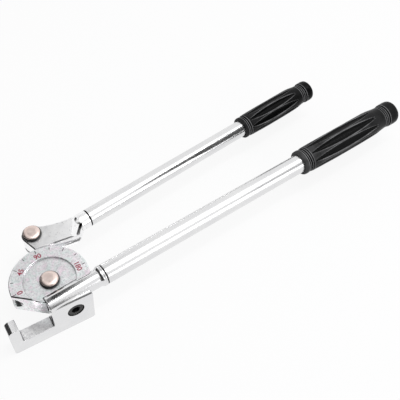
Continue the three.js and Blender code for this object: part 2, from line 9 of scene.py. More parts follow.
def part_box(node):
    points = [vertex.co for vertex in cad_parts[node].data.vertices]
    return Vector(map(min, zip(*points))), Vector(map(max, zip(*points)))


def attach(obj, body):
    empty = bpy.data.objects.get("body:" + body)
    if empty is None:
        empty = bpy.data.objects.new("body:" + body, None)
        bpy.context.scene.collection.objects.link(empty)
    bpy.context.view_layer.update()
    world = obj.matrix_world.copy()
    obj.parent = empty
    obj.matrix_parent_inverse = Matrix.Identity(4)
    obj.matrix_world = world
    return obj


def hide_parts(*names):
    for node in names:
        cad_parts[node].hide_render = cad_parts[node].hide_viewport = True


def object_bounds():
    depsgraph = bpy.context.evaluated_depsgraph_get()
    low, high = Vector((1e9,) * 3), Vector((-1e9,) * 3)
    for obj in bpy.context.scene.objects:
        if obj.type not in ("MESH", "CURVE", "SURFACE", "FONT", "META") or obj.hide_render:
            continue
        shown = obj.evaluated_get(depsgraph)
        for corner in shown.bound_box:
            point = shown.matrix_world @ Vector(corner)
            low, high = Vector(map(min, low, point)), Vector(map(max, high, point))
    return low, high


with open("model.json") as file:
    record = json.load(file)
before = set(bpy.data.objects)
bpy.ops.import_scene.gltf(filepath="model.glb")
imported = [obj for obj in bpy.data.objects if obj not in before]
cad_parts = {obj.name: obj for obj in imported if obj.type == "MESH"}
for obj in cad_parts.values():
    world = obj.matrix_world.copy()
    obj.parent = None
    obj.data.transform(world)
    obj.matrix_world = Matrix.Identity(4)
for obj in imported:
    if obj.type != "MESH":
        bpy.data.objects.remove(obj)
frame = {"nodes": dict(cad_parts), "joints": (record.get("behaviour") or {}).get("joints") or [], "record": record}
cad_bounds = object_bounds()

# Sizes in metres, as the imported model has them
SEAT_GAP = 0.0003
OVERRUN = 0.002
EDGE_ROUND = 0.00035
TURNED_EDGE = 0.0005
# Points nearer than this are one point, and a radius under the second is on the axis
MERGE = 1e-7
ON_AXIS = 1e-9
# Edges sharper than these are rounded in a prism, rounded in a cut solid, and kept from shading smooth
PRISM_SHARP = math.radians(50)
CUT_SHARP = math.radians(38)
SHADE_SHARP = math.radians(32)

# Wheel. Heights are from its scale face, and the frame's are from the centre pin's crown
PIN_CROWN_RISE = 0.003
WHEEL_THICKNESS = 0.0226
MID_PLANE = -WHEEL_THICKNESS / 2
BEND_RADIUS = 0.0386
RIM_RADIUS = 0.0392
RIM_ROUND = 0.001
CUT_CHAMFER = 0.0011
GROOVE_RADIUS = 0.0065
RECESS_RADIUS = 0.026
RECESS_DEPTH = 0.002
RECESS_FILLET = 0.0003
PIN_BORE = 0.0063

SCALE_STEPS = 8
MARK_OUTER = 0.0374
MARK_SHORT = 0.003
MARK_LONG = 0.0036
MARK_WIDTH = 0.0007
MARK_RISE = 0.00003
FIGURE_SIZE = 0.0074
FIGURE_RADIUS = 0.0298
FIGURE_WEIGHT = 0.00015
FIGURES = (("0", 180), ("45", 135), ("90", 90), ("180", 0))

# Form body
FORM_YAW = math.radians(5)
FORM_AXIS_OFFSET = 0.0202
FORM_AXIS_HEIGHT = -0.009
SHANK_RADIUS = 0.0094
SHANK_TAIL = 0.0146
COLLAR_RADIUS = 0.011
COLLAR_LENGTH = 0.0034
COLLAR_NECK = 0.0026
COLLAR_GROOVE = 0.0005
FORM_TUBE_START = 0.047
BLOCK_FRONT = 0.031
BLOCK_DEPTH = 0.013
BLOCK_LEFT = 0.0126
BLOCK_RIGHT = 0.0307
BLOCK_RIGHT_LEAN = 0.0024
BLOCK_TOP = -0.0055
BLOCK_SHOULDER = 0.0045
BLOCK_CORNER = 0.003
ARM_TOP = -0.033
ARM_HEIGHT = 0.016
ARM_FILLET = 0.0024
TOOTH_FACE = 0.04525
TOOTH_THICKNESS = 0.0108
TOOTH_TOP = -0.0092
TOOTH_NOSE = 0.0074
TOOTH_TIP = 0.0016

# Clamp screw, and the wheel's boss that it pulls against
SCREW_X = 0.011
SCREW_HEIGHT = -0.0227
SCREW_RADIUS = 0.005
SCREW_HEAD_RADIUS = 0.0081
SCREW_HEAD_HEIGHT = 0.0064
SCREW_SOCKET = 0.008
SCREW_SOCKET_DEPTH = 0.0042
SOCKET_CONE = SCREW_SOCKET / 6
SOCKET_CONE_LIFT = TURNED_EDGE / 10
KNURLS = 36
KNURL_DEPTH = 0.0003
KNURL_SPREAD = 1.2
KNURL_MARGIN = 0.0012
COUNTERBORE_RADIUS = 0.0087
COUNTERBORE_DEPTH = 0.0089
LOCK_WASHER = 0.0014
BOSS_WIDTH = 0.022
BOSS_REAR = 0.0122
BOSS_FOOT = 0.0106
BOSS_CORNER = 0.003

# Pins, their heads and retaining rings, and the black band under each head as painted shade
HEAD_SIDE = 0.0018
HEAD_CROWN = 0.0036
SHADE_BAND_WALL = 0.0008
SHADE_BAND_HEIGHT = 0.0024
CENTRE_HEAD_RADIUS = 0.0097
CENTRE_HEAD_HEIGHT = 0.0047
SHOE_HEAD_RADIUS = 0.0095
SHOE_HEAD_HEIGHT = 0.0044
PIN_RADIUS = 0.006
CLIP_THICKNESS = 0.0012
CLIP_GROOVE = 0.0009
CLIP_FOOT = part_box("centre_pin_ring")[0].z + PIN_CROWN_RISE
DOME_STEPS = 10

LINK_HUB = 0.0115
LINK_END = 0.0102
LINK_WAIST = 0.0088
LINK_TURN = math.radians(60)

# Shoe
SHOE_THICKNESS = 0.016
SHOE_TOP = MID_PLANE + SHOE_THICKNESS / 2
SHOE_BOTTOM = MID_PLANE - SHOE_THICKNESS / 2
SHOE_ROUND_HEAD = 0.0107
SHOE_CHAMFER = 0.0011
SHOE_HEAD_TURN = math.radians(50)
SHOE_LIP = -0.0197
SHOE_HEEL = 0.0026
SHOE_LIP_LENGTH = 0.0375
SHOE_TOE = 0.0458
SHOE_TOE_RISE = 0.0038
SHOE_WAIST = 0.038
SHOE_WAIST_HEIGHT = 0.003
SHOE_SHOULDER = 0.0515
SHOE_SHOULDER_HEIGHT = 0.0056
SHOE_NECK_FOOT = 0.0065
SHOE_RAMP_START = 0.0352
SHOE_RAMP_TURN = math.radians(22)
SHOE_RAMP = (0.0046, 0.0016)  # run and drop
RELIEF = (0.0036, 0.0037, 0.006)  # start, width and depth
RELIEF_FLOOR_SHARES = (0.2, 0.8)
RELIEF_TURN = math.radians(10)
RELIEF_START = 0.0012
RELIEF_END = 0.019
SHOE_HANDLE_YAW = math.radians(13.7)
SHOE_AXIS_OFFSET = 0.0121
SHOE_NECK_START = 0.041
SHOE_NECK_TAPER = 0.006
SHOE_NECK_CHAMFER = 0.0034
SHOE_TUBE_START = 0.0575

# Handle tubes, their spigots and cross pins, and the black ring at each tube's start as painted shade of the
# joint's gap
FORM_TUBE_RADIUS = 0.0106
FORM_TUBE_WALL = 0.0016
SHOE_TUBE_RADIUS = 0.0094
SHOE_TUBE_WALL = 0.0015
SPIGOT_LENGTH = 0.034
SPIGOT_CHAMFER = 0.0012
CROSS_PIN_RADIUS = 0.002
CROSS_PIN_LENGTH = 0.009
CROSS_PIN_INSET = 0.013
JOINT_WIDTH = 0.0009
JOINT_DEPTH = 0.0011
JOINT_INSET = 0.0002

FORM_GRIP_START = 0.3004
FORM_GRIP_LENGTH = 0.145
FORM_GRIP_RADIUS = 0.01535
SHOE_GRIP_START = 0.2701
SHOE_GRIP_LENGTH = 0.1076
SHOE_GRIP_RADIUS = 0.0136
GRIP_END_WALL = 0.005

# Outer radius of a grip along its length, both as shares of its own length and greatest radius
GRIP_SHARES = (
    (0, 0.885), (0.004, 0.91), (0.012, 0.925), (0.034, 0.925), (0.040, 0.915), (0.044, 0.895),
    (0.056, 0.895), (0.067, 0.93), (0.08, 0.945), (0.13, 0.962), (0.24, 0.985), (0.30, 0.995),
    (0.36, 1), (0.5, 1), (0.56, 0.997), (0.62, 0.99), (0.71, 0.977), (0.745, 0.96), (0.765, 0.948),
    (0.79, 0.918), (0.82, 0.88), (0.85, 0.856), (0.886, 0.84), (0.892, 0.855), (0.898, 0.895),
    (0.903, 0.905), (0.955, 0.915), (0.975, 0.895), (0.984, 0.87), (0.993, 0.81), (0.998, 0.72),
)
GRIP_STATIONS = 120
GRIP_AROUND = 216
FLUTES = 9
FLUTE_START_SHARE = 0.085
FLUTE_END_SHARE = 0.76
FLUTE_FILL = 0.9
FLUTE_DEPTH = 0.0019
FLUTE_POINT = 0.55
FLUTE_BOWL = 0.6
FLUTE_RUNOUT = 1.5
OUTSIDE = 9
# Each set of rings: where it starts, as a share of the length and as a length added to that
RING_STARTS = ((0.034, 0.0006), (0.9, -0.0058))
RING_COUNT = 3
RING_PITCH = 0.0025
RING_HALF_WIDTH = 0.0009
RING_DEPTH = 0.0007
RING_OFFSETS = (-1.2, -1, -0.8, -0.5, -0.2, 0.2, 0.5, 0.8, 1, 1.2)

# Painted sheen on a grip, lighter grey that stands in for highlights: on plain rubber at its start and
# end, and on the edges of its flutes and rings, as strength, place of the edge, and width of it
PAINTED_SHEEN = "painted_sheen"
SHEEN_PLAIN = (0.15, 0.02)
SHEEN_FLUTE = (0.75, 1.02, 0.08)
SHEEN_RING = (0.7, 1.25, 0.28)
SHEEN_RIB_START = 0.85
SHEEN_RIB_WIDTH = 0.3
SHEEN_RING_REACH = 1.7
FORM_GRIP_SHEEN = 1
SHOE_GRIP_SHEEN = 0.35

# Points round a circle
FINE = 192
ROUND = 96
SMALL = 48

# Camera, solved from the photograph, and the studio about the object
SENSOR = 36
LENS = 62.3
CAMERA_PLACE = (-0.0602, -0.3729, 0.5711)
CAMERA_RIGHT = (0.8607, -0.5089, 0.0126)
CAMERA_UP = (0.3939, 0.6814, 0.6168)
CAMERA_FORWARD = (0.3225, 0.5259, -0.7870)
WORLD_LIGHT = 0.65
FLOOR_SIZE = 6
FLOOR_TONE = (0.86, 0.86, 0.87)
FLOOR_WHITE = 0.88
STUDIO_ROUGHNESS = 0.9

# Each lamp: name, place, target, width and height, power
LAMPS = (
    ("lamp_over", (0.62, -0.14, 1.3), (0.62, -0.14, 0), (0.9, 0.83), 3.6),
    ("lamp_strip", (0.62, -0.1, 1.28), (0.62, -0.1, 0), (1.3, 0.09), 4.4),
    ("lamp_front", (0.78, -1.15, 0.4), (0.15, 0, 0), (0.7, 0.5), 2.2),
)

# Each card: name, its corners in turn, its tone, and whether it is clear from behind
CARDS = (
    ("card_ceiling", ((0, -0.13, 1.0), (0.165, -0.13, 1.0), (0.2, 1.5, 1.0), (0.04, 1.5, 1.0)),
     0.02, False),
    ("card_front", ((-0.4, -1.0, 0.02), (0.26, -1.0, 0.02), (0.2, -0.95, 1.1), (-0.3, -0.95, 1.1)),
     0.18, False),
    ("card_left", ((-0.11, -0.3, -0.05), (-0.11, 0.35, -0.05), (-0.11, 0.35, 0.16), (-0.11, -0.3, 0.16)),
     0.03, False),
    ("card_right", ((0.45, -0.33, 0.27), (0.6, -0.33, 0.12), (0.6, -0.2, 0.27), (0.47, -0.2, 0.36)),
     0.6, False),
    ("card_near", ((0.14, 0.032, 0.03), (0.24, 0.046, 0.115), (0.42, 0.07, 0.19), (0.42, 0.07, -0.004),
                   (0.24, 0.046, -0.003)),
     0.05, True),
)

QUARTER = math.pi / 2


def move(x, y, z):
    return Matrix.Translation((x, y, z))


def spin(angle, axis):
    return Matrix.Rotation(angle, 4, axis)


_, shoe_joint = frame["joints"]
shoe_pin_point = Vector(shoe_joint["pos_m"])
link_length = shoe_pin_point.xy.length
link_angle = math.atan2(shoe_pin_point.y, shoe_pin_point.x)

DOWN = move(0, 0, -PIN_CROWN_RISE)
FORM_AXIS = (DOWN @ spin(FORM_YAW, "Z") @ move(0, -FORM_AXIS_OFFSET, FORM_AXIS_HEIGHT)
             @ spin(QUARTER, "Y"))
LINK_PLACE = DOWN @ spin(link_angle, "Z")
SHOE_PIN_PLACE = DOWN @ move(shoe_pin_point.x, shoe_pin_point.y, 0)
SHOE_PLACE = SHOE_PIN_PLACE @ spin(link_angle - QUARTER, "Z")
SHOE_AXIS = (SHOE_PLACE @ spin(SHOE_HANDLE_YAW, "Z") @ move(0, -SHOE_AXIS_OFFSET, MID_PLANE)
             @ spin(QUARTER, "Y"))
# Where the wheel's saddle ends, in the plan of the scale face
SADDLE_TAIL = Matrix.Rotation(FORM_YAW, 3, "Z") @ Vector((-SHANK_TAIL - SEAT_GAP, -FORM_AXIS_OFFSET, 0))


# Outlines

STRAIGHT = math.radians(89)
REACH_SHARE = 0.49


def rounded(points, radii, steps=8, closed=True):
    """Rounds each corner of an outline of points by its radius, with an arc of that many steps."""
    if not isinstance(radii, (list, tuple)):
        radii = [radii] * len(points)
    count = len(points)
    result = []
    for i, point in enumerate(points):
        corner = Vector(point)
        if radii[i] == 0 or (not closed and i in (0, count - 1)):
            result.append(corner)
            continue
        before = Vector(points[i - 1]) - corner
        after = Vector(points[(i + 1) % count]) - corner
        half = before.angle(after) / 2
        if half > STRAIGHT:
            result.append(corner)
            continue
        reach = min(radii[i] / math.tan(half), before.length * REACH_SHARE, after.length * REACH_SHARE)
        radius = reach * math.tan(half)
        middle = (before.normalized() + after.normalized()).normalized() * (radius / math.sin(half))
        centre = corner + middle
        start = corner + before.normalized() * reach - centre
        end = corner + after.normalized() * reach - centre
        turn = start.angle_signed(end)
        for step in range(steps + 1):
            angle = -turn * step / steps
            result.append(centre + Matrix.Rotation(angle, 2) @ start)
    return result


def rectangle(left, right, low, high):
    return [(left, low), (right, low), (right, high), (left, high)]


def arc(centre, radius, start, end, steps):
    return [(centre[0] + radius * math.cos(start + (end - start) * i / steps),
             centre[1] + radius * math.sin(start + (end - start) * i / steps)) for i in range(steps + 1)]


def bezier(points, steps):
    """Points of one Bezier curve of any order, both ends included."""
    result = []
    for i in range(steps + 1):
        row = [Vector(p) for p in points]
        while len(row) > 1:
            row = [a.lerp(b, i / steps) for a, b in zip(row, row[1:])]
        result.append(row[0])
    return result


# Solids

def new_object(name, data):
    obj = bpy.data.objects.new(name, data)
    bpy.context.scene.collection.objects.link(obj)
    return obj


def from_bmesh(name, bm, place=Matrix.Identity(4)):
    bmesh.ops.remove_doubles(bm, verts=bm.verts, dist=MERGE)
    bmesh.ops.recalc_face_normals(bm, faces=bm.faces)
    mesh = bpy.data.meshes.new(name)
    bm.to_mesh(mesh)
    bm.free()
    mesh.transform(place)
    return new_object(name, mesh)


def turned(name, profile, segments=ROUND, place=Matrix.Identity(4), closed=False):
    """Turns (radius, height) points about Z. An open profile starts and ends on the axis."""
    bm = bmesh.new()
    rings = []
    for radius, height in profile:
        if radius < ON_AXIS:
            rings.append([bm.verts.new((0, 0, height))] * segments)
            continue
        rings.append([bm.verts.new((radius * math.cos(2 * math.pi * i / segments),
                                    radius * math.sin(2 * math.pi * i / segments), height))
                      for i in range(segments)])
    pairs = list(zip(rings, rings[1:]))
    if closed:
        pairs.append((rings[-1], rings[0]))
    for low, high in pairs:
        for i in range(segments):
            j = (i + 1) % segments
            corners = []
            for vert in (low[i], low[j], high[j], high[i]):
                if vert not in corners:
                    corners.append(vert)
            if len(corners) > 2:
                bm.faces.new(corners)
    return from_bmesh(name, bm, place)


def cylinder(name, radius, low, high, segments=ROUND, place=Matrix.Identity(4)):
    return turned(name, [(0, low), (radius, low), (radius, high), (0, high)], segments, place)


def extrude(bm, outline, low, high, place=Matrix.Identity(4)):
    """Adds a plan outline, drawn up from low to high, to bm."""
    bottom, top = ([bm.verts.new(place @ Vector((x, y, level))) for x, y in outline]
                   for level in (low, high))
    bm.faces.new(bottom)
    bm.faces.new(top)
    for i in range(len(outline)):
        j = (i + 1) % len(outline)
        bm.faces.new((bottom[i], bottom[j], top[j], top[i]))


def prism(name, outline, low, high, edge=0, place=Matrix.Identity(4), steps=3):
    """Extrudes a plan outline from low to high and rounds its sharp edges."""
    bm = bmesh.new()
    extrude(bm, outline, low, high)
    bmesh.ops.remove_doubles(bm, verts=bm.verts, dist=MERGE)
    bmesh.ops.recalc_face_normals(bm, faces=bm.faces)
    if edge:
        sharp = [e for e in bm.edges if e.calc_face_angle(0) > PRISM_SHARP]
        bmesh.ops.bevel(bm, geom=sharp, offset=edge, offset_type="OFFSET", segments=steps,
                        profile=0.5, affect="EDGES", clamp_overlap=True)
    return from_bmesh(name, bm, place)


def evaluated(obj):
    bpy.context.view_layer.update()
    return bpy.data.meshes.new_from_object(obj.evaluated_get(bpy.context.evaluated_depsgraph_get()))


def applied(obj):
    """Takes the result of obj's modifiers as its mesh."""
    result = evaluated(obj)
    obj.modifiers.clear()
    obj.data = result


def combine(obj, tools, operation):
    for tool in tools:
        modifier = obj.modifiers.new("combine", "BOOLEAN")
        modifier.operation = operation
        modifier.solver = "EXACT"
        modifier.object = tool
        applied(obj)
        bpy.data.objects.remove(tool)


def added(obj, *tools):
    combine(obj, tools, "UNION")


def cut(obj, *tools):
    combine(obj, tools, "DIFFERENCE")


def softened(obj):
    """Rounds the edges that cuts and joins left sharp."""
    bevel = obj.modifiers.new("edges", "BEVEL")
    bevel.width = EDGE_ROUND
    bevel.segments = 2
    bevel.limit_method = "ANGLE"
    bevel.angle_limit = CUT_SHARP
    bevel.use_clamp_overlap = True
    applied(obj)


def smooth(obj):
    obj.data.shade_smooth()
    obj.data.set_sharp_from_angle(angle=SHADE_SHARP)


def weighted(obj):
    """Lets the broad faces set the normals at the edges, so that they reflect as planes and rounds."""
    normals = obj.modifiers.new("normals", "WEIGHTED_NORMAL")
    normals.weight = 100
    normals.keep_sharp = True
    applied(obj)


def mended(obj):
    """Drops the faces of no size that cuts and rounds left, and closes the slits between faces."""
    bm = bmesh.new()
    bm.from_mesh(obj.data)
    bmesh.ops.remove_doubles(bm, verts=bm.verts, dist=2 * MERGE)
    bmesh.ops.dissolve_degenerate(bm, edges=bm.edges, dist=2 * MERGE)
    bmesh.ops.holes_fill(bm, edges=[edge for edge in bm.edges if edge.is_boundary], sides=0)
    bm.to_mesh(obj.data)
    bm.free()


def finished(obj, material, body, slot, *replaced):
    """Mends and shades a piece, and gives it its material, body and the nodes it replaces; slot is not used."""
    mended(obj)
    smooth(obj)
    weighted(obj)
    obj.data.materials.clear()
    obj.data.materials.append(material)
    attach(obj, body)
    if replaced:
        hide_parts(*replaced)


# Materials

class Shader:
    """A Principled material and short ways to add nodes to it."""

    def __init__(self, name, color, metallic, roughness):
        self.material = bpy.data.materials.new(name)
        self.material.use_nodes = True
        self.tree = self.material.node_tree
        self.principled = self.tree.nodes["Principled BSDF"]
        self.set("Base Color", (*color, 1))
        self.set("Metallic", metallic)
        self.set("Roughness", roughness)
        self.coords = self.tree.nodes.new("ShaderNodeTexCoord").outputs["Object"]

    def set(self, socket, value):
        self.principled.inputs[socket].default_value = value

    def link(self, output, socket):
        self.tree.links.new(output, self.principled.inputs[socket])

    def node(self, kind, inputs=(), **settings):
        node = self.tree.nodes.new(kind)
        for key, value in settings.items():
            setattr(node, key, value)
        for key, value in dict(inputs).items():
            if isinstance(value, bpy.types.NodeSocket):
                self.tree.links.new(value, node.inputs[key])
            else:
                node.inputs[key].default_value = value
        return node

    def stretched(self, scale, turn=(0, 0, 0)):
        inputs = {"Vector": self.coords, "Scale": scale, "Rotation": turn}
        return self.node("ShaderNodeMapping", inputs).outputs["Vector"]

    def noise(self, scale, detail=4.0, roughness=0.55, vector=None, distortion=0.0):
        node = self.node("ShaderNodeTexNoise", {
            "Vector": vector or self.coords, "Scale": scale, "Detail": detail,
            "Roughness": roughness, "Distortion": distortion,
        })
        return node.outputs["Fac"]

    def range(self, value, low, high, to_low=0.0, to_high=1.0):
        node = self.node("ShaderNodeMapRange", {
            "Value": value, "From Min": low, "From Max": high, "To Min": to_low, "To Max": to_high,
        })
        return node.outputs["Result"]

    def math(self, operation, a, b=0.0):
        return self.node("ShaderNodeMath", {0: a, 1: b}, operation=operation).outputs[0]

    def mix(self, factor, a, b):
        node = self.node("ShaderNodeMix", {"Factor": factor}, data_type="RGBA")
        for index, value in ((6, a), (7, b)):
            if isinstance(value, bpy.types.NodeSocket):
                self.tree.links.new(value, node.inputs[index])
            else:
                node.inputs[index].default_value = (*value, 1)
        return node.outputs[2]

    def facing_up(self, low=0.95, high=0.99):
        """1 on the faces that look up in the object's own frame, and 0 on the others."""
        normal = self.node("ShaderNodeTexCoord").outputs["Normal"]
        return self.range(self.node("ShaderNodeSeparateXYZ", {"Vector": normal}).outputs["Z"], low, high)

    def painted_gap_shade(self, color, reach=0.005, dark=(0.03, 0.03, 0.032), low=0.25, high=0.8):
        """Painted shade in gaps and inner corners: the colour darkens where ambient occlusion finds the surface
        closed in.
        """
        gaps = self.node("ShaderNodeAmbientOcclusion", {"Distance": reach}, samples=6)
        return self.mix(self.range(gaps.outputs["AO"], low, high), dark, color)

    def bump(self, height, strength, distance, normal=None):
        inputs = {"Height": height, "Strength": strength, "Distance": distance}
        if normal:
            inputs["Normal"] = normal
        return self.node("ShaderNodeBump", inputs).outputs["Normal"]

    def cover(self, factor, shader):
        """Shows another shader in place of the principled one, by a factor."""
        both = {0: factor, 1: self.principled.outputs["BSDF"], 2: shader.outputs[0]}
        self.tree.links.new(self.node("ShaderNodeMixShader", both).outputs[0],
                            self.tree.nodes["Material Output"].inputs["Surface"])


def zinc_material():
    """Turned and zinc plated steel: faint rings about the axis, cloudy pink, blue and green tints."""
    s = Shader("zinc_plate", (0.64, 0.64, 0.66), 1.0, 0.34)
    split = s.node("ShaderNodeSeparateXYZ", {"Vector": s.coords})
    flat = s.node("ShaderNodeCombineXYZ", {"X": split.outputs["X"], "Y": split.outputs["Y"]})
    radius = s.node("ShaderNodeVectorMath", {0: flat.outputs[0]}, operation="LENGTH").outputs["Value"]
    rings = s.node("ShaderNodeTexNoise", {
        "W": s.math("MULTIPLY", radius, 1800.0), "Scale": 1.0, "Detail": 3.0,
    }, noise_dimensions="1D").outputs["Fac"]
    clouds = s.noise(95.0, 5.0, 0.65)
    tint = s.noise(120.0, 3.0, 0.6, distortion=1.2)
    speckle = s.noise(620.0, 3.0, 0.7)
    base = s.mix(s.range(clouds, 0.3, 0.7), (0.80, 0.805, 0.82), (0.99, 0.99, 1.0))
    pink = s.mix(s.range(tint, 0.52, 0.64, 0.0, 0.8), base, (0.93, 0.78, 0.87))
    green = s.mix(s.range(tint, 0.48, 0.38, 0.0, 0.7), pink, (0.78, 0.88, 0.86))
    spots = s.mix(s.range(speckle, 0.54, 0.36, 0.0, 0.6), green, (0.50, 0.50, 0.52))
    # Painted shade: the plate's colour darkens in gaps and inner corners.
    s.link(s.painted_gap_shade(spots), "Base Color")
    gloss = s.range(s.noise(160.0, 6.0, 0.65), 0.3, 0.7, 0.08, 0.2)
    s.link(s.math("ADD", gloss, s.math("MULTIPLY", s.facing_up(), 0.22)), "Roughness")
    grain = s.bump(s.noise(700.0, 4.0, 0.65), 0.22, 0.0003)
    s.link(s.bump(rings, 0.12, 0.0002, grain), "Normal")
    return s.material


def chrome_material():
    """Bright plate over a ground surface: faint long polishing marks, smears in the gloss."""
    s = Shader("chrome_plate", (0.76, 0.76, 0.77), 1.0, 0.21)
    smears = s.noise(26.0, 5.0, 0.6, distortion=0.6)
    bright = s.mix(s.range(smears, 0.35, 0.7), (0.73, 0.73, 0.74), (0.78, 0.78, 0.78))
    # Painted shade: the plate's colour darkens in narrow gaps and inner corners.
    s.link(s.painted_gap_shade(bright, 0.0016, low=0.15, high=0.6), "Base Color")
    s.link(s.range(s.noise(60.0, 6.0, 0.7), 0.35, 0.75, 0.21, 0.27), "Roughness")
    marks = s.noise(1.0, 2.0, 0.5, vector=s.stretched((6.0, 1500.0, 1500.0), (0, 0, -math.radians(6.5))))
    s.link(s.bump(marks, 0.005, 0.0001), "Normal")
    return s.material


def hook_material():
    """The form body's plate: polished sides, with the forging's grain left on the faces that look up."""
    s = Shader("hook_plate", (0.78, 0.78, 0.79), 1.0, 0.08)
    height = s.node("ShaderNodeSeparateXYZ", {"Vector": s.coords}).outputs["Z"]
    low_down = s.math("LESS_THAN", height, DOWN.translation.z + ARM_TOP + EDGE_ROUND)
    upward = s.math("MULTIPLY", s.facing_up(0.3, 0.7), low_down)
    smears = s.noise(26.0, 5.0, 0.6, distortion=0.6)
    bright = s.mix(s.range(smears, 0.35, 0.7), (0.75, 0.75, 0.76), (0.80, 0.80, 0.80))
    speckle = s.noise(420.0, 5.0, 0.7)
    forged = s.mix(s.range(speckle, 0.34, 0.66), (0.66, 0.66, 0.67), (1.0, 1.0, 1.0))
    # Painted shade: the colour darkens to grey in narrow gaps and inner corners.
    s.link(s.painted_gap_shade(s.mix(upward, bright, forged), 0.0016, (0.35, 0.35, 0.36), 0.15, 0.6),
           "Base Color")
    gloss = s.range(s.noise(60.0, 6.0, 0.7), 0.35, 0.75, 0.1, 0.2)
    s.link(s.math("ADD", gloss, s.math("MULTIPLY", upward, 0.26)), "Roughness")
    marks = s.noise(1.0, 4.0, 0.5, vector=s.stretched((60.0, 1500.0, 1500.0), (0, 0, -math.radians(5))))
    s.link(s.bump(speckle, 0.12, 0.0002, s.bump(marks, 0.03, 0.0001)), "Normal")
    return s.material


def satin_material():
    """Plated forging: fine tumbled grain, cloudy gloss, small pits and handling marks."""
    s = Shader("satin_steel", (0.92, 0.92, 0.93), 1.0, 0.3)
    clouds = s.noise(75.0, 5.0, 0.6, distortion=0.4)
    pits = s.noise(420.0, 3.0, 0.65)
    base = s.mix(s.range(clouds, 0.3, 0.72), (0.87, 0.87, 0.88), (0.97, 0.97, 0.97))
    # Painted shade: the colour darkens in gaps and inner corners, over the darker pits.
    s.link(s.painted_gap_shade(s.mix(s.range(pits, 0.40, 0.28, 0.0, 0.6), base, (0.30, 0.30, 0.31))), "Base Color")
    gloss = s.range(s.noise(120.0, 6.0, 0.7), 0.3, 0.72, 0.07, 0.18)
    s.link(s.math("ADD", gloss, s.math("MULTIPLY", s.facing_up(), 0.2)), "Roughness")
    fine = s.bump(s.noise(1000.0, 3.0, 0.6), 0.12, 0.0002)
    s.link(s.bump(s.range(pits, 0.30, 0.2, 1.0, 0.0), 0.2, 0.0002, fine), "Normal")
    return s.material


def copper_material():
    """Pin heads: pale copper wash, faintly turned, a little stained towards the edge."""
    s = Shader("coppered_steel", (0.86, 0.70, 0.63), 1.0, 0.33)
    stain = s.noise(190.0, 5.0, 0.65, distortion=0.5)
    s.link(s.mix(s.range(stain, 0.3, 0.7), (0.74, 0.60, 0.55), (0.86, 0.74, 0.69)), "Base Color")
    s.link(s.range(s.noise(300.0, 5.0, 0.6), 0.3, 0.7, 0.28, 0.44), "Roughness")
    s.link(s.bump(s.noise(1100.0, 3.0, 0.6), 0.12, 0.0002), "Normal")
    return s.material


def black_oxide_material():
    """Blackened screw: oily black with worn grey edges."""
    s = Shader("black_oxide", (0.006, 0.006, 0.0065), 0.2, 0.36)
    wear_and_sheen = s.noise(500.0, 5.0, 0.65)
    s.link(s.mix(s.range(wear_and_sheen, 0.56, 0.72, 0.0, 0.5), (0.005, 0.005, 0.0055), (0.04, 0.04, 0.043)),
           "Base Color")
    s.link(s.range(s.noise(380.0), 0.3, 0.7, 0.28, 0.5), "Roughness")
    s.link(s.bump(s.noise(1800.0), 0.15, 0.0002), "Normal")
    return s.material


def bronze_material():
    """Bearing bronze: warm, a little tarnished."""
    s = Shader("bronze", (0.60, 0.42, 0.20), 1.0, 0.35)
    tarnish = s.noise(220.0, 5.0, 0.6)
    s.link(s.mix(s.range(tarnish, 0.35, 0.7), (0.46, 0.31, 0.15), (0.68, 0.50, 0.26)), "Base Color")
    s.link(s.range(s.noise(420.0), 0.3, 0.7, 0.28, 0.46), "Roughness")
    return s.material


def rubber_material():
    """Moulded rubber: near black, soft sheen, fine leather-like skin, a trace of dust, and a painted sheen of
    lighter grey where the grip marks highlights.
    """
    s = Shader("black_rubber", (0.006, 0.006, 0.0065), 0.0, 0.3)
    s.set("Specular IOR Level", 0.07)
    dust = s.noise(90.0, 6.0, 0.65)
    plain = s.mix(s.range(dust, 0.5, 0.8, 0.0, 0.5), (0.001, 0.001, 0.0012), (0.006, 0.006, 0.0065))
    # Painted sheen: the grip's attribute lightens the colour to grey along ribs and ring edges, in place of
    # highlights.
    painted_sheen = s.node("ShaderNodeAttribute", attribute_name=PAINTED_SHEEN).outputs["Fac"]
    patchy = s.math("MULTIPLY", painted_sheen, s.range(s.noise(60.0, 4.0, 0.6), 0.3, 0.65, 0.35, 1.0))
    s.link(s.mix(patchy, plain, (0.42, 0.42, 0.43)), "Base Color")
    s.link(s.range(s.noise(240.0, 5.0, 0.6), 0.3, 0.7, 0.24, 0.36), "Roughness")
    skin = s.bump(s.noise(2600.0, 3.0, 0.6), 0.10, 0.0002)
    s.link(s.bump(s.noise(140.0, 3.0, 0.5), 0.08, 0.0006, skin), "Normal")
    return s.material


def paint_material(name, color, wear_and_sheen):
    """Paint of the scale's marks: uneven, with worn specks."""
    s = Shader(name, color, 0.0, 0.5)
    patches = s.noise(900.0, 4.0, 0.7)
    s.link(s.mix(s.range(patches, 0.5, 0.7, 0.0, 0.6), color, wear_and_sheen), "Base Color")
    s.link(s.range(patches, 0.3, 0.7, 0.4, 0.65), "Roughness")
    return s.material


zinc = zinc_material()
chrome = chrome_material()
hook_plate = hook_material()
satin = satin_material()
coppered = copper_material()
black_oxide = black_oxide_material()
bronze = bronze_material()
rubber = rubber_material()
red_paint = paint_material("red_paint", (0.30, 0.012, 0.045), (0.46, 0.22, 0.27))
dark_paint = paint_material("dark_paint", (0.015, 0.012, 0.015), (0.1, 0.09, 0.1))


# Forming wheel

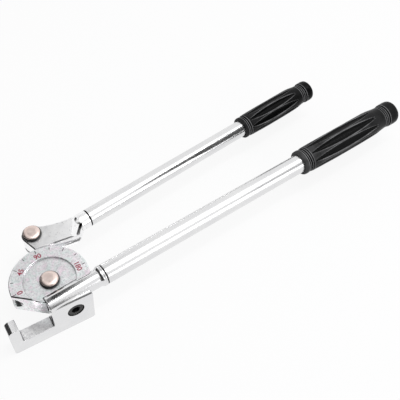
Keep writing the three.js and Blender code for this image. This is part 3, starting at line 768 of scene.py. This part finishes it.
def wheel_profile():
    groove = arc((BEND_RADIUS, MID_PLANE), GROOVE_RADIUS, 3 * QUARTER, QUARTER, steps=36)
    section = [(PIN_BORE, -WHEEL_THICKNESS), (RIM_RADIUS, -WHEEL_THICKNESS),
               (RIM_RADIUS, MID_PLANE - GROOVE_RADIUS), *groove, (RIM_RADIUS, MID_PLANE + GROOVE_RADIUS),
               (RIM_RADIUS, 0), (RECESS_RADIUS, 0), (RECESS_RADIUS, -RECESS_DEPTH),
               (PIN_BORE, -RECESS_DEPTH)]
    radii = [EDGE_ROUND, RIM_ROUND, EDGE_ROUND, *[0] * len(groove), EDGE_ROUND, RIM_ROUND, EDGE_ROUND,
             RECESS_FILLET, EDGE_ROUND]
    return rounded(section, radii, steps=5)


def wheel_trim():
    reach = RIM_RADIUS + BLOCK_FRONT
    mark = Vector((-RIM_RADIUS, 0))
    tail = SADDLE_TAIL.xy
    outward = mark + (mark - tail).normalized() * OVERRUN
    back = BLOCK_DEPTH - BLOCK_FRONT + SEAT_GAP
    side = -BLOCK_LEFT - SEAT_GAP
    outline = [outward, (-reach, outward.y), (-reach, -reach), (reach, -reach), (reach, back),
               (side, back), (side, tail.y), tail]
    return prism("wheel_trim", outline, -WHEEL_THICKNESS - OVERRUN, OVERRUN)


def cut_chamfer(height, size, radius):
    """What a chamfer along the upper edge of the oblique cut leaves away, out to a radius."""
    mark = Vector((-RIM_RADIUS, 0, 0))
    tail = SADDLE_TAIL
    along = (mark - tail).normalized()
    out = along.cross(Vector((0, 0, -1)))
    place = Matrix((out, Vector((0, 0, 1)), along)).transposed().to_4x4()
    place.translation = tail + Vector((0, 0, height))
    share = tail.dot(along)
    length = math.sqrt(share ** 2 - tail.length_squared + radius ** 2) - share
    outline = [(-size - OVERRUN, OVERRUN), (OVERRUN, -size - OVERRUN), (OVERRUN, OVERRUN)]
    return prism("cut_chamfer", outline, -OVERRUN, length, place=place)


def screw_rod(name, radius, front, rear, segments=ROUND):
    """A rod along +Y on the clamp screw's axis."""
    place = move(SCREW_X, 0, SCREW_HEIGHT) @ spin(-QUARTER, "X")
    return cylinder(name, radius, front, rear, segments, place)


def wheel_boss():
    half = BOSS_WIDTH / 2
    foot = SCREW_HEIGHT - BOSS_FOOT
    outline = rounded(rectangle(SCREW_X - half, SCREW_X + half, foot, MID_PLANE),
                      [BOSS_CORNER, BOSS_CORNER, 0, 0])
    length = BLOCK_FRONT - BLOCK_DEPTH - BOSS_REAR - SEAT_GAP
    place = move(0, -BOSS_REAR, 0) @ spin(QUARTER, "X")
    return prism("wheel_boss", outline, 0, length, place=place)


def forming_wheel():
    wheel = turned("wheel_form", wheel_profile(), FINE, closed=True)
    cut(wheel, wheel_trim())
    added(wheel, wheel_boss())
    shank_place = DOWN.inverted() @ FORM_AXIS
    saddle = cylinder("saddle", SHANK_RADIUS + SEAT_GAP, -SHANK_TAIL - SEAT_GAP,
                      BEND_RADIUS + BLOCK_FRONT, ROUND, shank_place)
    way = screw_rod("screw_way", SCREW_RADIUS + SEAT_GAP, -BLOCK_FRONT, BOSS_REAR - BOSS_FOOT)
    cut(wheel, saddle, way, cut_chamfer(0, CUT_CHAMFER, RIM_RADIUS + OVERRUN),
        cut_chamfer(-RECESS_DEPTH, CUT_CHAMFER / 2, RECESS_RADIUS - RECESS_FILLET))
    softened(wheel)
    wheel.data.transform(DOWN)
    finished(wheel, zinc, "form_side", "zinc_plate", "forming_wheel")


def scale_lines():
    """Thin dark lines every 22.5 degrees, in place of stamped ones."""
    marks = bmesh.new()
    for step in range(SCALE_STEPS + 1):
        inner = MARK_OUTER - (MARK_SHORT if step % 2 else MARK_LONG)
        half = MARK_WIDTH / 2
        outline = rounded(rectangle(inner, MARK_OUTER, -half, half), half, steps=3)
        extrude(marks, outline, -MARK_RISE, MARK_RISE, spin(math.pi * step / SCALE_STEPS, "Z"))
    finished(from_bmesh("scale_lines", marks, DOWN), dark_paint, "form_side", "zinc_plate")


def scale_figure(text, angle):
    """A figure of the scale, its top towards the rim."""
    curve = bpy.data.curves.new("figure", "FONT")
    curve.body = text
    curve.size = FIGURE_SIZE
    curve.align_x = "CENTER"
    curve.align_y = "CENTER"
    curve.extrude = MARK_RISE
    curve.offset = FIGURE_WEIGHT
    writing = new_object("writing", curve)
    mesh = evaluated(writing)
    bpy.data.objects.remove(writing)
    mesh.transform(DOWN @ spin(math.radians(angle), "Z") @ move(FIGURE_RADIUS, 0, 0)
                   @ spin(-QUARTER, "Z"))
    finished(new_object("scale_figure_" + text, mesh), red_paint, "form_side", "zinc_plate")


# Form body and its clamp screw

def spigot(start, tube_radius, wall):
    """Outline of the plug inside a handle tube, from its foot to its end."""
    radius = tube_radius - wall - SEAT_GAP
    end = start + SPIGOT_LENGTH
    return [(radius, start), (radius, end), (0, end)]


def shank_profile():
    neck = FORM_TUBE_START - COLLAR_LENGTH - COLLAR_NECK
    collar = FORM_TUBE_START - COLLAR_LENGTH
    middle = (collar + FORM_TUBE_START) / 2
    quarter = COLLAR_LENGTH / 4
    points = [(0, -SHANK_TAIL), (SHANK_RADIUS, -SHANK_TAIL), (SHANK_RADIUS, neck),
              (COLLAR_RADIUS, collar), (COLLAR_RADIUS, middle - quarter / 2),
              (COLLAR_RADIUS - COLLAR_GROOVE, middle), (COLLAR_RADIUS, middle + quarter / 2),
              (COLLAR_RADIUS, FORM_TUBE_START)]
    plug = spigot(FORM_TUBE_START, FORM_TUBE_RADIUS, FORM_TUBE_WALL)
    radii = [0, 2 * TURNED_EDGE, COLLAR_NECK, TURNED_EDGE, *[TURNED_EDGE / 2] * 3, TURNED_EDGE,
             0, SPIGOT_CHAMFER, 0]
    return rounded(points + plug, radii, steps=6, closed=False)


def hook_outline():
    back = TOOTH_FACE + TOOTH_THICKNESS
    bottom = ARM_TOP - ARM_HEIGHT
    corners = [(-back, bottom), (BLOCK_RIGHT - BLOCK_RIGHT_LEAN, bottom), (BLOCK_RIGHT, BLOCK_TOP),
               (-BLOCK_LEFT, BLOCK_TOP), (-BLOCK_LEFT, ARM_TOP), (-TOOTH_FACE, ARM_TOP),
               (-TOOTH_FACE, TOOTH_TOP), (-back, TOOTH_TOP)]
    radii = [BLOCK_CORNER] * 3 + [EDGE_ROUND, ARM_FILLET, ARM_FILLET, TOOTH_TIP, TOOTH_NOSE]
    return rounded(corners, radii, steps=12)


def cross_pin_hole(start, place):
    place = place @ spin(-QUARTER, "Y") @ move(start + CROSS_PIN_INSET, 0, 0)
    return cylinder("cross_pin_hole", CROSS_PIN_RADIUS + SEAT_GAP, -CROSS_PIN_LENGTH - OVERRUN, 0,
                    SMALL, place)


def shoulder_cut():
    """What the rolled upper front edge of the block leaves away."""
    back = BLOCK_SHOULDER - BLOCK_FRONT
    front = -BLOCK_FRONT - OVERRUN
    roll = arc((back, BLOCK_TOP - BLOCK_SHOULDER), BLOCK_SHOULDER, QUARTER, math.pi, steps=16)
    outline = [(back, BLOCK_TOP + OVERRUN), *roll, (front, BLOCK_TOP - BLOCK_SHOULDER),
               (front, BLOCK_TOP + OVERRUN)]
    place = DOWN @ spin(QUARTER, "Z") @ spin(QUARTER, "X")
    return prism("shoulder", outline, -BLOCK_LEFT - OVERRUN, BLOCK_RIGHT + OVERRUN, place=place)


def form_body():
    place = move(0, BLOCK_DEPTH - BLOCK_FRONT, 0) @ spin(QUARTER, "X")
    body = prism("form_body_bright", hook_outline(), 0, BLOCK_DEPTH, 2 * EDGE_ROUND, DOWN @ place)
    cut(body, shoulder_cut())
    added(body, turned("shank", shank_profile(), ROUND, FORM_AXIS))
    bore = screw_rod("counterbore", COUNTERBORE_RADIUS, -BLOCK_FRONT - OVERRUN,
                     COUNTERBORE_DEPTH - BLOCK_FRONT)
    way = screw_rod("screw_way", SCREW_RADIUS + SEAT_GAP, -BLOCK_FRONT, -BOSS_REAR, SMALL)
    for tool in (bore, way):
        tool.data.transform(DOWN)
    cut(body, bore, way, cross_pin_hole(FORM_TUBE_START, FORM_AXIS))
    softened(body)
    finished(body, hook_plate, "form_side", "chrome_plate", "form_body")


def clamp_screw():
    """Socket head cap screw: knurled head, hexagon socket, plain shank into the boss."""
    seat = COUNTERBORE_DEPTH - LOCK_WASHER - 2 * SEAT_GAP
    length = seat - BLOCK_FRONT + BOSS_REAR
    points = [(0, length), (SCREW_RADIUS, length), (SCREW_RADIUS, 0), (SCREW_HEAD_RADIUS, 0),
              (SCREW_HEAD_RADIUS, SCREW_HEAD_HEIGHT), (0, SCREW_HEAD_HEIGHT)]
    radii = [0, TURNED_EDGE, TURNED_EDGE / 2, TURNED_EDGE, 2 * TURNED_EDGE, 0]
    profile = rounded(points, radii, steps=5, closed=False)
    screw = turned("cap_screw", profile, ROUND)
    floor = SCREW_HEAD_HEIGHT - SCREW_SOCKET_DEPTH
    corner = SCREW_SOCKET / math.sqrt(3)
    socket = cylinder("socket", corner, floor, SCREW_HEAD_HEIGHT + OVERRUN, 6)
    low, high = SCREW_HEAD_HEIGHT - TURNED_EDGE, SCREW_HEAD_HEIGHT + TURNED_EDGE
    rim = turned("socket_rim", [(0, low), (SCREW_SOCKET / 2, low), (corner + TURNED_EDGE, high),
                                (0, high)], SMALL)
    cone = turned("socket_cone", [(0, floor - SOCKET_CONE), (SCREW_SOCKET / 2, floor), (0, floor)], SMALL)
    cone.data.transform(move(0, 0, SOCKET_CONE_LIFT))
    knurls = bmesh.new()
    for i in range(KNURLS):
        notch = [(SCREW_HEAD_RADIUS - KNURL_DEPTH, 0),
                 (SCREW_HEAD_RADIUS + KNURL_DEPTH, -KNURL_DEPTH * KNURL_SPREAD),
                 (SCREW_HEAD_RADIUS + KNURL_DEPTH, KNURL_DEPTH * KNURL_SPREAD)]
        extrude(knurls, notch, KNURL_MARGIN, SCREW_HEAD_HEIGHT - KNURL_MARGIN,
                spin(2 * math.pi * i / KNURLS, "Z"))
    cut(screw, socket, rim, cone, from_bmesh("knurls", knurls))
    screw.data.transform(DOWN @ move(SCREW_X, seat - BLOCK_FRONT, SCREW_HEIGHT) @ spin(QUARTER, "X"))
    finished(screw, black_oxide, "form_side", "black_oxide", "clamp_screw")


# Handle tubes and grips

def joint_shade_ring(name, radius, start, place, body):
    """Black ring where a tube meets its shoulder: painted shade that stands in for the shadow in the joint's gap.
    """
    profile = rounded(rectangle(radius - JOINT_DEPTH, radius, start, start + JOINT_WIDTH),
                      [0, JOINT_WIDTH / 3, JOINT_WIDTH / 3, 0], steps=3)
    ring = turned(name, profile, ROUND, place, closed=True)
    finished(ring, rubber, body, "black_rubber")


def handle_tube(name, radius, wall, start, grip_end, place, body, node):
    """A tube from its black ring to just short of the end wall inside its grip."""
    joint_shade_ring(name + "_joint", radius - JOINT_INSET, start, place, body)
    start += JOINT_WIDTH
    end = grip_end - GRIP_END_WALL - SEAT_GAP
    profile = rounded(rectangle(radius - wall, radius, start + SEAT_GAP, end),
                      [0, TURNED_EDGE, 0, 0], steps=5)
    tube = turned(name, profile, ROUND, place, closed=True)
    cut(tube, cross_pin_hole(start - JOINT_WIDTH, place))
    finished(tube, chrome, body, "chrome_plate", node)


def profile_at(shares, share):
    """Radius share at a place along a grip, on straight stretches between the table's points."""
    for (a, radius_a), (b, radius_b) in zip(shares, shares[1:]):
        if share <= b:
            return radius_a + (radius_b - radius_a) * (share - a) / (b - a)
    return shares[-1][1]


def flute_width(share):
    """Width of a flute at a place along the grip, as a share of its greatest, and 0 past its ends."""
    span = (share - FLUTE_START_SHARE) / (FLUTE_END_SHARE - FLUTE_START_SHARE)
    return math.sin(math.pi * span) ** FLUTE_POINT if 0 < span < 1 else 0


def flute_reach(share, angle):
    """Where a place lies in its flute: 0 on the flute's line, 1 on its edge, more outside."""
    width = flute_width(share)
    if not width:
        return OUTSIDE
    pitch = 2 * math.pi / FLUTES
    return abs((angle + pitch / 2) % pitch - pitch / 2) / (FLUTE_FILL * pitch / 2 * width)


def flute(share, angle):
    """How deep a flute is, from 0 to 1: lens shaped hollows with a narrow rib left between each two."""
    reach = flute_reach(share, angle)
    if reach >= 1:
        return 0
    return (1 - reach ** 2) ** FLUTE_BOWL * min(1, FLUTE_RUNOUT * flute_width(share))


def ring_centres(length):
    return [share * length + shift + i * RING_PITCH
            for share, shift in RING_STARTS for i in range(RING_COUNT)]


def sheen_edge(place, strength, edge, width):
    return strength * math.exp(-((place - edge) / width) ** 2)


def sheen_amount(share, angle, length, wear_and_sheen):
    """Painted sheen: how much lighter grey is painted on the rubber in place of highlights, most on the edges of
    flutes and rings.
    """
    plain = wear_and_sheen * (SHEEN_PLAIN[0] + (SHEEN_PLAIN[1] - SHEEN_PLAIN[0]) * share)
    reach = flute_reach(share, angle)
    if reach < OUTSIDE:
        rib = min(1, max(0, reach - SHEEN_RIB_START) / SHEEN_RIB_WIDTH)
        return max(sheen_edge(reach, *SHEEN_FLUTE), plain * rib)
    value = plain
    for centre in ring_centres(length):
        off = abs(share * length - centre) / RING_HALF_WIDTH
        if off < SHEEN_RING_REACH:
            value = sheen_edge(off, *SHEEN_RING)
    return value


def grip_radius(share, angle, length, radius):
    value = profile_at(GRIP_SHARES, share) * radius
    value -= FLUTE_DEPTH * flute(share, angle)
    for centre in ring_centres(length):
        off = abs(share * length - centre) / RING_HALF_WIDTH
        if off < 1:
            value -= RING_DEPTH * (0.5 + 0.5 * math.cos(math.pi * off))
    return value


def grip(name, tube_radius, length, radius, wear_and_sheen, place, body, node):
    """A sleeve with a blind bore, rings near both ends and flutes between them."""
    bm = bmesh.new()
    bore = tube_radius + SEAT_GAP
    stations = [i / GRIP_STATIONS for i in range(GRIP_STATIONS)]
    stations += [share for share, _ in GRIP_SHARES]
    stations += [(centre + offset * RING_HALF_WIDTH) / length
                 for centre in ring_centres(length) for offset in RING_OFFSETS]
    shares = sorted(set(round(value, 5) for value in stations if value <= GRIP_SHARES[-1][0]))
    rings = [(length - GRIP_END_WALL, None), (0, None), *((share * length, share) for share in shares)]
    painted_sheen = bm.verts.layers.float.new(PAINTED_SHEEN)
    verts = []
    for along, share in rings:
        ring = []
        for i in range(GRIP_AROUND):
            angle = 2 * math.pi * i / GRIP_AROUND
            r = bore if share is None else grip_radius(share, angle, length, radius)
            vert = bm.verts.new((r * math.cos(angle), r * math.sin(angle), along))
            # Each point carries its painted sheen, the grey that stands in for highlights.
            vert[painted_sheen] = sheen_amount(along / length, angle, length, wear_and_sheen)
            ring.append(vert)
        verts.append(ring)
    for low, high in zip(verts, verts[1:]):
        for i in range(GRIP_AROUND):
            j = (i + 1) % GRIP_AROUND
            bm.faces.new((low[i], low[j], high[j], high[i]))
    for ring, along in ((verts[0], length - GRIP_END_WALL), (verts[-1], length)):
        tip = bm.verts.new((0, 0, along))
        for i in range(GRIP_AROUND):
            bm.faces.new((ring[i], ring[(i + 1) % GRIP_AROUND], tip))
    finished(from_bmesh(name, bm, place), rubber, body, "black_rubber", node)


# Pins and link

def domed_pin(name, radius, height, base, place, body, node):
    """The whole pin: domed head, shank, groove for the retaining ring and chamfered end, and a black band under
    the dome that is painted shade for the head's dark side.
    """
    # Painted shade: a black band under the dome stands in for the dark side of the head and the shadow beneath it.
    shade_band = rounded([(radius - SHADE_BAND_WALL, base), (radius, base), (radius, base + HEAD_SIDE),
                    (radius - SHADE_BAND_WALL, base + SHADE_BAND_HEIGHT)],
                   [0, TURNED_EDGE, TURNED_EDGE, TURNED_EDGE / 2], steps=4)
    finished(turned(name + "_band", shade_band, ROUND, place, closed=True), black_oxide, body, "black_oxide")
    radius -= SHADE_BAND_WALL
    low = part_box(node)[0].z + PIN_CROWN_RISE
    clip_low, clip_high = CLIP_FOOT - SEAT_GAP / 2, CLIP_FOOT + CLIP_THICKNESS + SEAT_GAP / 2
    root = PIN_RADIUS - CLIP_GROOVE
    points = [(0, low), (PIN_RADIUS, low), (PIN_RADIUS, clip_low), (root, clip_low), (root, clip_high),
              (PIN_RADIUS, clip_high), (PIN_RADIUS, base), (radius, base), (radius, base + SHADE_BAND_HEIGHT)]
    shaft = rounded(points, [0, 2 * TURNED_EDGE, 0, 0, 0, 0, 0, TURNED_EDGE, 0], steps=5, closed=False)
    dome = []
    for step in range(1, DOME_STEPS + 1):
        angle = QUARTER * step / DOME_STEPS
        dome.append((HEAD_CROWN + (radius - HEAD_CROWN) * math.cos(angle),
                     base + SHADE_BAND_HEIGHT + (height - SHADE_BAND_HEIGHT) * math.sin(angle)))
    pin = turned(name, [*shaft, *dome, (0, base + height)], ROUND, place)
    finished(pin, coppered, body, "coppered_steel", node)


def link_outline():
    hub = arc((0, 0), LINK_HUB, LINK_TURN, 2 * math.pi - LINK_TURN, steps=48)
    end = arc((link_length, 0), LINK_END, LINK_TURN - math.pi, math.pi - LINK_TURN, steps=48)
    lower = bezier([hub[-1], (link_length / 2, -LINK_WAIST), end[0]], steps=24)
    upper = bezier([end[-1], (link_length / 2, LINK_WAIST), hub[0]], steps=24)
    return [*hub, *lower[1:-1], *end, *upper[1:-1]]


def link_plate():
    low, high = (corner.z + PIN_CROWN_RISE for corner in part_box("link_plate"))
    plate = prism("link_forging", link_outline(), low, high, 2 * EDGE_ROUND, LINK_PLACE)
    hub_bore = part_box("link_bush")[1].x + SEAT_GAP
    cut(plate, cylinder("hub_bore", hub_bore, low - OVERRUN, high + OVERRUN, ROUND, LINK_PLACE),
        cylinder("end_bore", PIN_BORE, low - OVERRUN, high + OVERRUN, ROUND,
                 LINK_PLACE @ move(link_length, 0, 0)))
    softened(plate)
    finished(plate, satin, "link", "satin_steel", "link_plate")


# Bending shoe

def shoe_axis_height(along):
    return along * math.tan(SHOE_HANDLE_YAW) - SHOE_AXIS_OFFSET / math.cos(SHOE_HANDLE_YAW)


def shoe_outline():
    heel = Vector((-SHOE_HEEL, SHOE_LIP))
    tangent = math.atan2(heel.y, heel.x) - math.acos(SHOE_ROUND_HEAD / heel.length)
    shoulder_foot = (SHOE_SHOULDER, shoe_axis_height(SHOE_SHOULDER) - SHOE_NECK_FOOT)
    toe = bezier([(SHOE_LIP_LENGTH, SHOE_LIP), (SHOE_TOE - SHOE_TOE_RISE, SHOE_LIP),
                  (SHOE_TOE, SHOE_LIP + SHOE_TOE_RISE)], steps=12)
    head = arc((0, 0), SHOE_ROUND_HEAD, SHOE_HEAD_TURN, tangent + 2 * math.pi, steps=64)
    back = bezier([(SHOE_SHOULDER, SHOE_SHOULDER_HEIGHT), (SHOE_WAIST, SHOE_WAIST_HEIGHT),
                   (SHOE_WAIST / 2, SHOE_WAIST_HEIGHT), head[0]], steps=32)
    return [heel, *toe, shoulder_foot, *back, *head[1:]]


def ramp_place():
    return (SHOE_PLACE @ move(SHOE_RAMP_START, SHOE_LIP, SHOE_TOP) @ spin(-SHOE_RAMP_TURN, "Z")
            @ spin(QUARTER, "X"))


def shoe_ramp():
    """What is cut off at the toe: a slope down from the plate, then a ledge."""
    reach = SHOE_SHOULDER
    run, drop = SHOE_RAMP
    outline = [(0, 0), (run, -drop), (reach, -drop), (reach, OVERRUN), (0, OVERRUN)]
    return prism("ramp", outline, -reach, reach, place=ramp_place())


def shoe_slot():
    """The relief milled between the slope and the neck."""
    start, width, depth = RELIEF
    floor_start, floor_end = (start + share * width for share in RELIEF_FLOOR_SHARES)
    outline = [(start, OVERRUN), (floor_start, -depth), (floor_end, -depth), (start + width, OVERRUN)]
    place = ramp_place() @ spin(-RELIEF_TURN, "Y")
    return prism("relief", outline, -RELIEF_END, -RELIEF_START, place=place)


def shoe_neck_profile():
    points = [(0, SHOE_NECK_START), (SHOE_TUBE_RADIUS - SHOE_NECK_CHAMFER, SHOE_NECK_START),
              (SHOE_TUBE_RADIUS, SHOE_NECK_START + SHOE_NECK_TAPER), (SHOE_TUBE_RADIUS, SHOE_TUBE_START)]
    plug = spigot(SHOE_TUBE_START, SHOE_TUBE_RADIUS, SHOE_TUBE_WALL)
    radii = [0, SHOE_NECK_CHAMFER / 2, SHOE_NECK_CHAMFER, TURNED_EDGE, 0, SPIGOT_CHAMFER, 0]
    return rounded(points + plug, radii, steps=6, closed=False)


def bending_shoe():
    shoe = prism("shoe_forging", shoe_outline(), SHOE_BOTTOM, SHOE_TOP, SHOE_CHAMFER, SHOE_PLACE,
                 steps=1)
    cut(shoe, shoe_ramp())
    added(shoe, turned("neck", shoe_neck_profile(), ROUND, SHOE_AXIS),
          cylinder("boss", SHOE_ROUND_HEAD - 2 * EDGE_ROUND, -WHEEL_THICKNESS, MID_PLANE, ROUND,
                   SHOE_PLACE))
    groove_place = SHOE_PLACE @ move(0, BEND_RADIUS - link_length, MID_PLANE) @ spin(QUARTER, "Y")
    bush_low, bush_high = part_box("shoe_bush")
    bore = (bush_high.x - bush_low.x) / 2 + SEAT_GAP
    groove = cylinder("groove", GROOVE_RADIUS, -SHOE_LIP_LENGTH, 2 * SHOE_LIP_LENGTH, ROUND,
                      groove_place)
    cut(shoe, groove, cylinder("bore", bore, -WHEEL_THICKNESS - OVERRUN, OVERRUN, ROUND, SHOE_PLACE),
        cross_pin_hole(SHOE_TUBE_START, SHOE_AXIS), shoe_slot())
    softened(shoe)
    finished(shoe, satin, "shoe_side", "satin_steel", "bending_shoe")


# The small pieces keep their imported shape, with smooth round faces

def carried_over():
    plain = {"bronze": bronze, "satin_steel": satin, "black_oxide": black_oxide}
    slots = {entry["node"]: entry["material_slot"] for entry in frame["record"]["subparts"]}
    for name, node in frame["nodes"].items():
        if not node.hide_render:
            smooth(node)
            node.data.materials.clear()
            node.data.materials.append(plain[slots[name]])


# Studio: white surroundings, soft lamps, dark and grey cards for the streaks in the bright plate

def light_level(tree):
    """1 where a ray comes from the camera, a gloss or a glass, else 0."""
    path = tree.nodes.new("ShaderNodeLightPath")
    level = path.outputs["Is Camera Ray"]
    for kind in ("Is Glossy Ray", "Is Transmission Ray"):
        join = tree.nodes.new("ShaderNodeMath")
        join.operation = "MAXIMUM"
        tree.links.new(level, join.inputs[0])
        tree.links.new(path.outputs[kind], join.inputs[1])
        level = join.outputs[0]
    return level


def surroundings():
    world = bpy.data.worlds.new("surroundings")
    bpy.context.scene.world = world
    world.use_nodes = True
    tree = world.node_tree
    background = tree.nodes["Background"]
    background.inputs["Color"].default_value = (1, 1, 1, 1)
    strength = tree.nodes.new("ShaderNodeMapRange")
    strength.inputs["To Min"].default_value = WORLD_LIGHT
    strength.inputs["To Max"].default_value = 1.0
    tree.links.new(light_level(tree), strength.inputs["Value"])
    tree.links.new(strength.outputs["Result"], background.inputs["Strength"])


def floor():
    bm = bmesh.new()
    bmesh.ops.create_grid(bm, x_segments=8, y_segments=8, size=FLOOR_SIZE)
    obj = from_bmesh("floor", bm, move(0, 0, cad_bounds[0][2]))
    s = Shader("floor_white", FLOOR_TONE, 0.0, STUDIO_ROUGHNESS)
    s.cover(s.math("MULTIPLY", light_level(s.tree), FLOOR_WHITE),
            s.node("ShaderNodeEmission", {"Strength": 1.0}))
    obj.data.materials.append(s.material)


def lamp(name, place, target, size, power):
    data = bpy.data.lights.new(name, "AREA")
    data.shape = "RECTANGLE"
    data.size, data.size_y = size
    data.energy = power
    aim = (Vector(target) - Vector(place)).to_track_quat("-Z", "Y")
    new_object(name, data).matrix_world = move(*place) @ aim.to_matrix().to_4x4()


def card(name, corners, tone, one_sided):
    """A card that only shows as a band in bright metal."""
    mesh = bpy.data.meshes.new(name)
    mesh.from_pydata(corners, [], [range(len(corners))])
    obj = new_object(name, mesh)
    s = Shader(name, (tone,) * 3, 0.0, STUDIO_ROUGHNESS)
    if one_sided:
        s.cover(s.node("ShaderNodeNewGeometry").outputs["Backfacing"],
                s.node("ShaderNodeBsdfTransparent"))
    obj.data.materials.append(s.material)
    obj.visible_camera = False
    obj.visible_shadow = False
    obj.visible_diffuse = False


def camera():
    data = bpy.data.cameras.new("camera")
    data.sensor_width = SENSOR
    data.lens = LENS
    obj = new_object("camera", data)
    right, up, forward = Vector(CAMERA_RIGHT), Vector(CAMERA_UP), Vector(CAMERA_FORWARD)
    place = Matrix((right, up, -forward)).transposed().to_4x4()
    place.translation = CAMERA_PLACE
    obj.matrix_world = place
    bpy.context.scene.camera = obj


camera()
forming_wheel()
scale_lines()
for figure_row in FIGURES:
    scale_figure(*figure_row)
form_body()
clamp_screw()
handle_tube("form_handle_tube", FORM_TUBE_RADIUS, FORM_TUBE_WALL, FORM_TUBE_START,
            FORM_GRIP_START + FORM_GRIP_LENGTH, FORM_AXIS, "form_side", "form_tube")
handle_tube("shoe_handle_tube", SHOE_TUBE_RADIUS, SHOE_TUBE_WALL, SHOE_TUBE_START,
            SHOE_GRIP_START + SHOE_GRIP_LENGTH, SHOE_AXIS, "shoe_side", "shoe_tube")
grip("form_handle_grip", FORM_TUBE_RADIUS, FORM_GRIP_LENGTH, FORM_GRIP_RADIUS, FORM_GRIP_SHEEN,
     FORM_AXIS @ move(0, 0, FORM_GRIP_START), "form_side", "form_grip")
grip("shoe_handle_grip", SHOE_TUBE_RADIUS, SHOE_GRIP_LENGTH, SHOE_GRIP_RADIUS, SHOE_GRIP_SHEEN,
     SHOE_AXIS @ move(0, 0, SHOE_GRIP_START), "shoe_side", "shoe_grip")
domed_pin("centre_pin_domed", CENTRE_HEAD_RADIUS, CENTRE_HEAD_HEIGHT, SEAT_GAP - RECESS_DEPTH, DOWN,
          "form_side", "centre_pin")
domed_pin("shoe_pin_domed", SHOE_HEAD_RADIUS, SHOE_HEAD_HEIGHT, SHOE_TOP + SEAT_GAP, SHOE_PIN_PLACE,
          "link", "shoe_pin")
link_plate()
bending_shoe()
carried_over()

floor()
surroundings()
for lamp_row in LAMPS:
    lamp(*lamp_row)
for card_row in CARDS:
    card(*card_row)
bpy.context.scene.view_settings.view_transform = "Standard"
